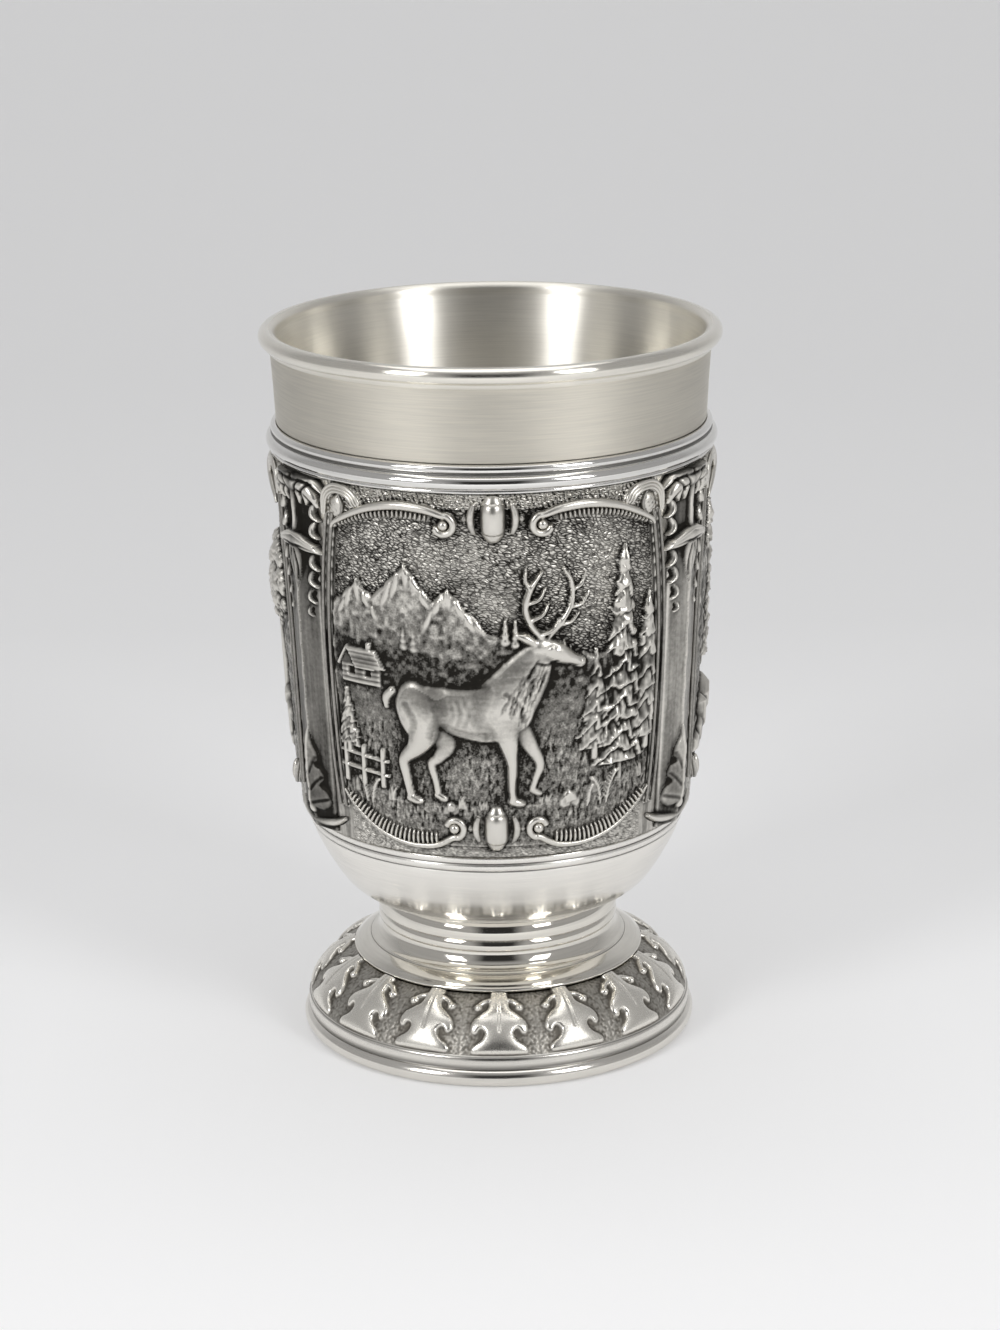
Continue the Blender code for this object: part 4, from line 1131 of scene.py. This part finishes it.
def left_picture(sheet):
    """An old tree at the right, a hut under hills in the middle, and firs."""
    summits = ((-8.0, 49.6), (2.0, 48.4))
    far = [(-21.0, 43.0), (-14.0, 46.0), summits[0], (-3.0, 47.0), summits[1], (8.0, 44.0), (21.0, 42.0)]
    hills(sheet, far, 36.0, 0.4, (5.0, 6.2), summits)
    meadow(sheet, [(-21.0, 38.0), (-8.0, 37.2), (0.0, 38.4), (9.0, 37.0), (21.0, 38.0)], 0.18)
    hut(sheet, -2.0, 37.4)
    fir(sheet, -11.5, 31.0, 50.5, 3.4, 0.9)
    fir(sheet, -7.4, 33.0, 44.5, 2.3, 0.6, 0.1)
    meadow(sheet, [(-21.0, 31.5), (-8.0, 30.4), (0.0, 31.6), (9.0, 30.2), (21.0, 32.0)], 0.3)
    old_tree(sheet, 10.2, 30.0, 45.4, 4.6, 1.5)
    fence(sheet, -2.0, 30.0)
    rock(sheet, 10.6, 33.0, 2.2, 0.9)
    rock(sheet, 9.6, 29.4, 1.6, 0.8)
    for x, blades, tall in (
        (-12.6, 9, 1.6), (-6.0, 8, 1.4), (-2.4, 8, 1.2), (5.6, 9, 1.6), (8.6, 9, 1.8), (14.4, 8, 1.6)
    ):
        tuft(sheet, x, 28.6, blades, tall)
    for x, size, lean in ((6.6, 2.8, 0.8), (6.0, 2.4, -0.7), (-4.2, 2.2, 0.6)):
        fern(sheet, x, FERN_FOOT, size, lean)


def right_picture(sheet):
    """A stag by a rocky bank at the left, with firs and far hills behind."""
    summits = ((0.0, 49.2), (6.6, 50.2))
    far = [
        (-21.0, 47.0), (-12.0, 48.6), (-6.0, 46.0), summits[0], (3.4, 47.0), summits[1], (12.0, 46.6),
        (21.0, 46.0),
    ]
    hills(sheet, far, 36.0, 0.4, (-3.4, 9.0), summits)
    meadow(sheet, [(-21.0, 39.6), (-10.0, 38.6), (0.0, 37.0), (8.0, 38.0), (21.0, 37.0)], 0.2)
    fir(sheet, -11.2, 36.5, 52.8, 3.2, 0.9)
    fir(sheet, 13.0, 31.0, 49.5, 3.2, 0.85)
    fir(sheet, -7.0, 36.0, 46.0, 2.2, 0.6, 0.1)
    meadow(sheet, [(-21.0, 33.0), (-10.0, 31.6), (0.0, 30.0), (8.0, 29.6), (21.0, 30.6)], 0.3)
    for place in ((-10.6, 32.4, 3.0, 1.4), (-8.2, 29.6, 2.0, 0.9), (-13.2, 29.8, 2.2, 0.9)):
        rock(sheet, *place)
    stag(sheet, 3.0)
    for x, blades, tall in ((-6.0, 9, 1.6), (-1.0, 8, 1.3), (7.6, 8, 1.4), (11.0, 9, 1.6), (-13.0, 8, 1.6)):
        tuft(sheet, x, 28.4, blades, tall)
    for x, size, lean in ((10.2, 2.6, 0.8), (9.4, 2.2, -0.6), (-9.8, 2.6, 0.6)):
        fern(sheet, x, FERN_FOOT, size, lean)


cast_pewter = cast_metal("cast_pewter", roughness=0.28, dark=0.024, bright=0.72)
frame_pattern = frame_mesh(cast_pewter)
frame_x, frame_y, frame_z = np.array([vertex.co for vertex in frame_pattern.vertices]).T / MM
jacket_x, jacket_y, _ = on_jacket(0.0 * frame_z, frame_z, 0.0).T / MM
lift = np.hypot(frame_x, frame_y) - np.hypot(jacket_x, jacket_y)
mark(frame_pattern, wear=np.clip(0.02 + 0.92 * lift, 0.0, 0.8))

PICTURE_SEED = 7
pictures = (("front", front_picture), ("right", right_picture), ("left", left_picture))
for i, (name, picture) in enumerate(pictures):
    sheet = plate_sheet(PICTURE_SEED + i)
    picture(sheet)
    sheet.h = sheet.blurred(sheet.h, 0.055)
    frame_bed(sheet)
    turn = Matrix.Rotation(math.radians(120.0 * i), 4, "Z")
    panel = sheet.shell(f"panel_{name}_relief", on_jacket, PLATE_THICKNESS, cast_pewter)
    panel.data.transform(turn)
    panel_frame = linked(f"panel_{name}_frame", frame_pattern.copy())
    panel_frame.data.transform(turn)
    for piece in (panel, panel_frame):
        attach(piece, "root")
        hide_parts(f"relief_panel_{name}")


# Pilasters
# Three cast pewter mounts, soldered over the seams between the plates: a ridge with two brushed
# flanks, a folded leaf for its capital, a petal with chains of husks, and an acanthus leaf below.

PILASTER_HALF_WIDTH, LEAF_REACH = 2.88, 4.6
PILASTER_BOTTOM, PILASTER_TOP = 23.5, 58.2
PILASTER_COLUMNS, PILASTER_ROWS, PILASTER_SEED = 104, 432, 21


def cut_both(sheet, points, width, depth):
    """A cut line on each side of a sheet's middle."""
    for side in (-1, 1):
        sheet.groove([(side * x, z) for x, z in points], width, depth)


def husk(sheet, x, z, size):
    """A husk on each side of the ridge: a small leaf that hangs over the next one and curls outward."""
    spine = (
        (0.1, 0.85, 0.12, 0.3), (-0.26, 0.4, 0.3, 0.55), (-0.2, -0.2, 0.36, 0.68), (0.42, -0.62, 0.12, 0.5)
    )
    both(sheet, [(x + dx * size, z + dz * size, width * size, h) for dx, dz, width, h in spine], 0.16)
    fold = ((0.3, 0.45), (0.12, 0.05), (0.34, -0.3))
    cut_both(sheet, [(x + dx * size, z + dz * size) for dx, dz in fold], 0.22 * size, 0.22)


def pilaster_sheet():
    """The mount drawn flat, its ridge up the middle; its leaves reach out over the plates."""
    sheet = Relief(LEAF_REACH, PILASTER_BOTTOM, PILASTER_TOP, PILASTER_COLUMNS, PILASTER_ROWS, PILASTER_SEED)
    across = np.abs(sheet.x)
    flank = 0.88 - 0.62 * across / PILASTER_HALF_WIDTH
    brushed = 0.012 * sheet.noise(0.16, 7.0) + 0.02 * sheet.noise(0.9, 3.0)
    under_capital = unit(1.0 - np.abs(sheet.z - 54.2) / 2.2)**0.3
    hollow = 0.3 * unit((2.5 - across) / 0.2) * under_capital
    face = np.where(across < PILASTER_HALF_WIDTH, flank + brushed - hollow, -0.05)
    sheet.h = face.copy()
    sheet.rubbed -= 0.03 + 0.05 * sheet.noise(0.8, 5.0)
    up = np.linspace(24.5, 57.0, 60)
    ridge = [(0.08 * math.sin(1.9 * z), z, 0.14 + 0.04 * math.sin(4.1 * z), 0.2) for z in up]
    sheet.limb(ridge, 0.8, steps=2)
    sheet.limb([(0.0, 56.6, 0.5, 0.6), (0.0, 54.4, 0.3, 0.5), (0.0, 52.2, 0.55, 0.6)], 0.45)
    bud = [(0.2, 51.6, 0.85, 0.66), (0.3, 50.0, 0.8, 0.6), (0.2, 48.4, 0.52, 0.45), (0.0, 46.4, 0.1, 0.2)]
    both(sheet, bud, 0.58)
    cut_both(sheet, [(0.25, 51.0), (0.55, 49.6), (0.35, 48.2)], 0.18, 0.18)
    for place in (
        (1.75, 45.2, 0.7), (2.0, 46.7, 0.95), (2.3, 48.4, 1.1), (2.6, 50.1, 1.15),
        (2.75, 53.1, 1.05), (2.95, 54.9, 1.15),
    ):
        husk(sheet, *place)
    petal = [
        (0.0, 51.95, 0.95, 0.85), (1.0, 51.85, 0.85, 0.85), (2.0, 51.6, 0.62, 0.75), (3.0, 51.4, 0.36, 0.55),
        (3.8, 51.1, 0.1, 0.25),
    ]
    both(sheet, petal, 0.45)
    both(sheet, [(0.1, 52.5, 0.24, 0.95), (1.4, 52.25, 0.24, 0.9), (3.0, 51.7, 0.16, 0.6)], 0.45)
    sheet.groove([(-2.8, 51.3), (-1.2, 51.5), (0.0, 51.4), (1.2, 51.5), (2.8, 51.3)], 0.18, 0.16)
    capital = [
        (0.0, 57.2, 0.85, 0.8), (1.1, 57.5, 0.85, 0.92), (2.2, 57.2, 0.74, 0.9), (3.1, 56.5, 0.52, 0.7),
        (3.6, 55.6, 0.16, 0.35),
    ]
    both(sheet, capital, 0.4)
    brim = [
        (0.4, 58.0, 0.36, 0.75), (1.8, 58.15, 0.42, 0.75), (3.2, 57.8, 0.36, 0.6), (4.3, 57.0, 0.14, 0.3)
    ]
    both(sheet, brim, 0.4)
    both(sheet, [(0.7, 57.0, 0.34, 0.7), (1.15, 56.3, 0.38, 0.66), (1.05, 55.5, 0.1, 0.4)], 0.4)
    both(sheet, [(1.9, 56.9, 0.34, 0.7), (2.3, 56.2, 0.34, 0.66), (2.1, 55.5, 0.1, 0.4)], 0.4)
    for x in (0.9, 2.2):
        cut_both(sheet, [(0.7 * x, 56.6), (x, 57.2), (x + 0.6, 57.8)], 0.2, 0.22)
    sheet.groove([(-3.2, 57.7), (-1.5, 57.8), (0.0, 57.7), (1.5, 57.8), (3.2, 57.7)], 0.16, 0.18)
    acanthus = sheet.leaf(smooth([
        (0.12, 33.4), (0.45, 32.1), (1.0, 31.3), (1.2, 30.5), (0.8, 29.8), (1.6, 29.5), (1.95, 28.6),
        (1.4, 27.9), (2.25, 27.3), (2.6, 26.4), (2.35, 25.8), (1.6, 25.3),
    ], 4))
    sheet.h += sheet.blurred(acanthus, 0.12) * (0.04 + 0.44 * sheet.blurred(acanthus, 0.5))
    for low, high, reach in ((29.0, 30.6, 0.95), (27.3, 28.7, 1.6), (25.9, 26.6, 2.25)):
        cut_both(sheet, [(0.2, low), (0.6 * reach, 0.4 * low + 0.6 * high), (reach, high)], 0.22, 0.09)
    sheet.limb([(0.0, 25.5, 0.66, 0.75), (0.0, 25.4, 0.66, 0.75)], 0.6)
    foot = [(0.0, 24.1, 0.5, 0.75), (1.6, 24.25, 0.5, 0.65), (3.2, 24.6, 0.4, 0.5), (4.3, 25.1, 0.2, 0.3)]
    both(sheet, foot, 0.25)
    sheet.rubbed += np.where(sheet.h - face > 0.05, -0.15, 0.11)
    sheet.h = sheet.blurred(sheet.h, 0.05)
    return sheet


PILASTER_THICKNESS = 0.12
pilaster_pattern = pilaster_sheet()
# Each mount is painted a little darker than the one before.
for i, (name, patina) in enumerate((("right", 0.06), ("back", 0.02), ("left", 0.13))):
    pilaster_pattern.rubbed -= patina
    pilaster = pilaster_pattern.shell(f"pilaster_{name}_cast", on_jacket, PILASTER_THICKNESS, cast_pewter)
    pilaster.data.transform(Matrix.Rotation(math.radians(60.0 + 120.0 * i), 4, "Z"))
    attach(pilaster, "root")
    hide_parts(f"pilaster_{name}")


# Stem collar
# A turned neck with three rings, swept out to a thin flange; the bowl's spigot is soldered
# into its bore, and its skirt sits in the foot.

stem_metal = turned_metal("stem_pewter", (0.79, 0.763, 0.7), satin=0.3, bright=0.06, brushing=0.3)
stem_cuts = upper_cut, lower_cut, flange_cut = (11.6, 12.0), (11.45, 10.78), (12.6, 8.98)
stem_outline = [
    (10.8, 14.05), (11.1, 14.0), *arc((9.72, 12.46), 2.1, 45, -12, 18), upper_cut,
    *arc((10.66, 11.3), 1.1, 38, -24, 12), lower_cut, *arc((13.08, 10.79), 1.75, 178, 250, 18), flange_cut,
    *smooth([(12.72, 8.95), (13.2, 8.72), (13.7, 8.45), (14.05, 8.18)], 4),
    *arc((14.05, 7.95), 0.2, 60, -80, 6), (13.9, 7.7), (12.1, 7.7), (12.1, 6.2),
    (10.2, 6.2), (10.2, 12.9), (9.75, 12.9), (9.75, 14.05),
]
stem_polish = [CUT_LINE if point in stem_cuts else 1.0 for point in stem_outline]
stem = turned("stem_collar_turned", stem_outline, stem_metal, polish=stem_polish)
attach(stem, "root")
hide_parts("stem_collar")


# Solder fillet
# The ring of soft solder inside the foot that holds the bowl's spigot in the stem. It was run in
# with a torch and left as it set, dull and slightly wavy.

solder_metal, place = new_material("soft_solder", Metallic=1.0, Base_Color=(0.46, 0.46, 0.45, 1.0))
cloud = place.clouds(420.0, 4.0)
(cloud * 0.3 + 0.3).into("Roughness")
place.node("ShaderNodeBump", Strength=0.5, Distance=0.00012, Height=cloud).into("Normal")
bead_low, bead_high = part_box("solder_fillet")
outer = float(bead_high[0]) / MM
low, high = float(bead_low[2]) / MM, float(bead_high[2]) / MM
solder_edge = [(outer, high), (outer, low + 0.35), (outer - 0.5, low + 0.1), (9.75, low), (9.72, high)]
solder = turned("solder_fillet_run", eased([*solder_edge, solder_edge[0]], 0.1)[:-1], solder_metal)
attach(solder, "root")
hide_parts("solder_fillet")


# Foot
# A cast pewter ring, hollow underneath, with a rolled base rim. Fifteen upright leaves, polished
# on their faces, stand on a dark punched ground round its slope.

LEAF_COUNT, LEAF_RADIUS, LEAF_SEED = 15, 16.6, 33
LEAF_SECTOR = 2 * math.pi * LEAF_RADIUS / LEAF_COUNT
LEAF_COLUMNS, LEAF_ROWS = 78, 78
BAND_BOTTOM, BAND_TOP, BAND_BULGE = (18.6, 3.05), (14.0, 7.5), 0.62
BAND_LENGTH = 6.55


def on_band(x, s, height):
    """Where a point of the leaf band lies: sideways in millimetres, place up the slope from 0 to 1, lift."""
    along = np.array(BAND_TOP) - np.array(BAND_BOTTOM)
    out = np.array((along[1], -along[0])) / np.hypot(*along)
    lift = 4.0 * BAND_BULGE * s * (1.0 - s) + height
    radius = BAND_BOTTOM[0] + along[0] * s + out[0] * lift
    z = BAND_BOTTOM[1] + along[1] * s + out[1] * lift
    angle = x / (LEAF_SECTOR / 2) * math.pi / LEAF_COUNT
    return np.stack([radius * np.sin(angle), -radius * np.cos(angle), z], -1) * MM


def leaf_sheet():
    """One leaf and its share of the punched ground, drawn flat: x across, z up the slope in millimetres."""
    sheet = Relief(LEAF_SECTOR / 2, 0.0, BAND_LENGTH, LEAF_COLUMNS, LEAF_ROWS, LEAF_SEED)
    across = np.abs(sheet.x)
    edge_fade = unit((LEAF_SECTOR / 2 - across) / 0.12)
    sheet.h = 0.08 * (0.4 + (sheet.scales(0.26, 0.26) - 0.4) * edge_fade)
    outline = [
        (0.02, 2.4), (0.06, 2.5), (0.11, 2.4), (0.16, 2.02), (0.21, 1.6), (0.26, 1.4), (0.31, 1.32),
        (0.35, 1.36), (0.38, 1.48), (0.39, 1.66), (0.375, 1.84), (0.335, 1.96), (0.305, 2.14), (0.305, 2.38),
        (0.35, 2.58), (0.42, 2.62), (0.49, 2.5), (0.56, 2.22), (0.62, 1.82), (0.67, 1.4), (0.71, 1.14),
        (0.76, 1.02), (0.82, 0.98), (0.9, 0.96), (1.02, 0.95),
    ]
    body = sheet.leaf(smooth([(width, up * BAND_LENGTH) for up, width in outline], 4))
    round_edge = unit(1.7 * (sheet.blurred(body, 0.13) - 0.25))**0.8
    pillow = sheet.blurred(body, 0.55)
    sheet.h = np.maximum(sheet.h, round_edge * (0.14 + 0.4 * pillow))
    sheet.groove([(0.0, 2.2), (0.0, 4.2), (0.0, 6.4)], 0.16, 0.08)
    both(sheet, [(0.8, 5.75, 0.34, 0.34), (1.45, 5.55, 0.3, 0.32), (1.95, 5.15, 0.28, 0.3)], 0.05)
    both(sheet, [(2.06, 4.84, 0.4, 0.4), (2.12, 4.88, 0.4, 0.4)], 0.05)
    sheet.h = sheet.blurred(sheet.h, 0.06)
    sheet.h[:, 0] = sheet.h[:, -1] = 0.5 * (sheet.h[:, 0] + sheet.h[:, -1])
    return sheet


def ring_tree(material):
    """Geometry Nodes: repeats one sector round the axis and welds the seams."""
    tree, (sector, count, weld) = new_tree(
        "leaf_ring", "Ring", Sector="Geometry", Leaf_Count="Int", Weld_Distance="Float"
    )
    stops = sector.node("GeometryNodeMeshLine", Count=count, Offset=(0.0, 0.0, 0.0))
    index = sector.node("GeometryNodeInputIndex")
    spin = sector.node("ShaderNodeCombineXYZ", Z=index * (2 * math.pi / count))
    turn = sector.node("FunctionNodeEulerToRotation", Euler=spin)
    leaves = sector.node("GeometryNodeInstanceOnPoints", Points=stops, Instance=sector, Rotation=turn)
    real = sector.node("GeometryNodeRealizeInstances", Geometry=leaves)
    welded = sector.node("GeometryNodeMergeByDistance", Geometry=real, Distance=weld)
    dressed = sector.node("GeometryNodeSetMaterial", Geometry=welded, Material=material)
    tree.links.new(dressed.socket, tree.nodes.new("NodeGroupOutput").inputs[0])
    return tree


def leaf_ring_mesh(material):
    """The whole leaf band, grown from one leaf's sector."""
    sheet = leaf_sheet()
    points = on_band(sheet.x, sheet.z / BAND_LENGTH, sheet.h).reshape(-1, 3)
    sector = make_object("leaf_sector", points.tolist(), sheet.grid()[1], material)
    mark(sector.data, wear=np.clip(sheet.wear() + 1.1 * sheet.h, 0.0, 0.9).ravel())
    return grown(sector, ring_tree(material), Leaf_Count=LEAF_COUNT, Weld_Distance=0.004 * MM)


leaf_pewter = cast_metal("leaf_pewter", roughness=0.24, dark=0.145, bright=0.85)
leaf_band = linked("foot_leaf_band", leaf_ring_mesh(leaf_pewter))
foot_metal = turned_metal("foot_pewter", (0.8, 0.775, 0.725), satin=0.3, bright=0.15, brushing=0.4)
slope = np.linspace(0.98, 0.02, 14)
core_x, core_y, core_z = on_band(0.0 * slope, slope, -0.02).T / MM
foot_cuts = band_cut, rim_top, rim_cut = (18.8, 3.0), (18.92, 1.95), (18.78, 1.72)
foot_inside = smooth([(17.2, 0.6), (16.6, 2.2), (15.2, 4.2), (13.2, 6.0), (12.3, 6.3)], 6)
foot_outline = [
    (12.3, 7.5), (13.95, 7.5), *zip(np.hypot(core_x, core_y), core_z),
    band_cut, (18.9, 2.85), rim_top, rim_cut, *arc((18.45, 0.9), 0.9, 66, -90, 16),
    (17.5, 0.0), (17.3, 0.25), *foot_inside,
]
FOOT_CUT_LINE = -0.7
foot_polish = [FOOT_CUT_LINE if point in foot_cuts else 1.0 for point in foot_outline]
foot = turned("foot_ring_turned", foot_outline, foot_metal, polish=foot_polish)
for piece in (leaf_band, foot):
    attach(piece, "root")
    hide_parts("foot_ring")
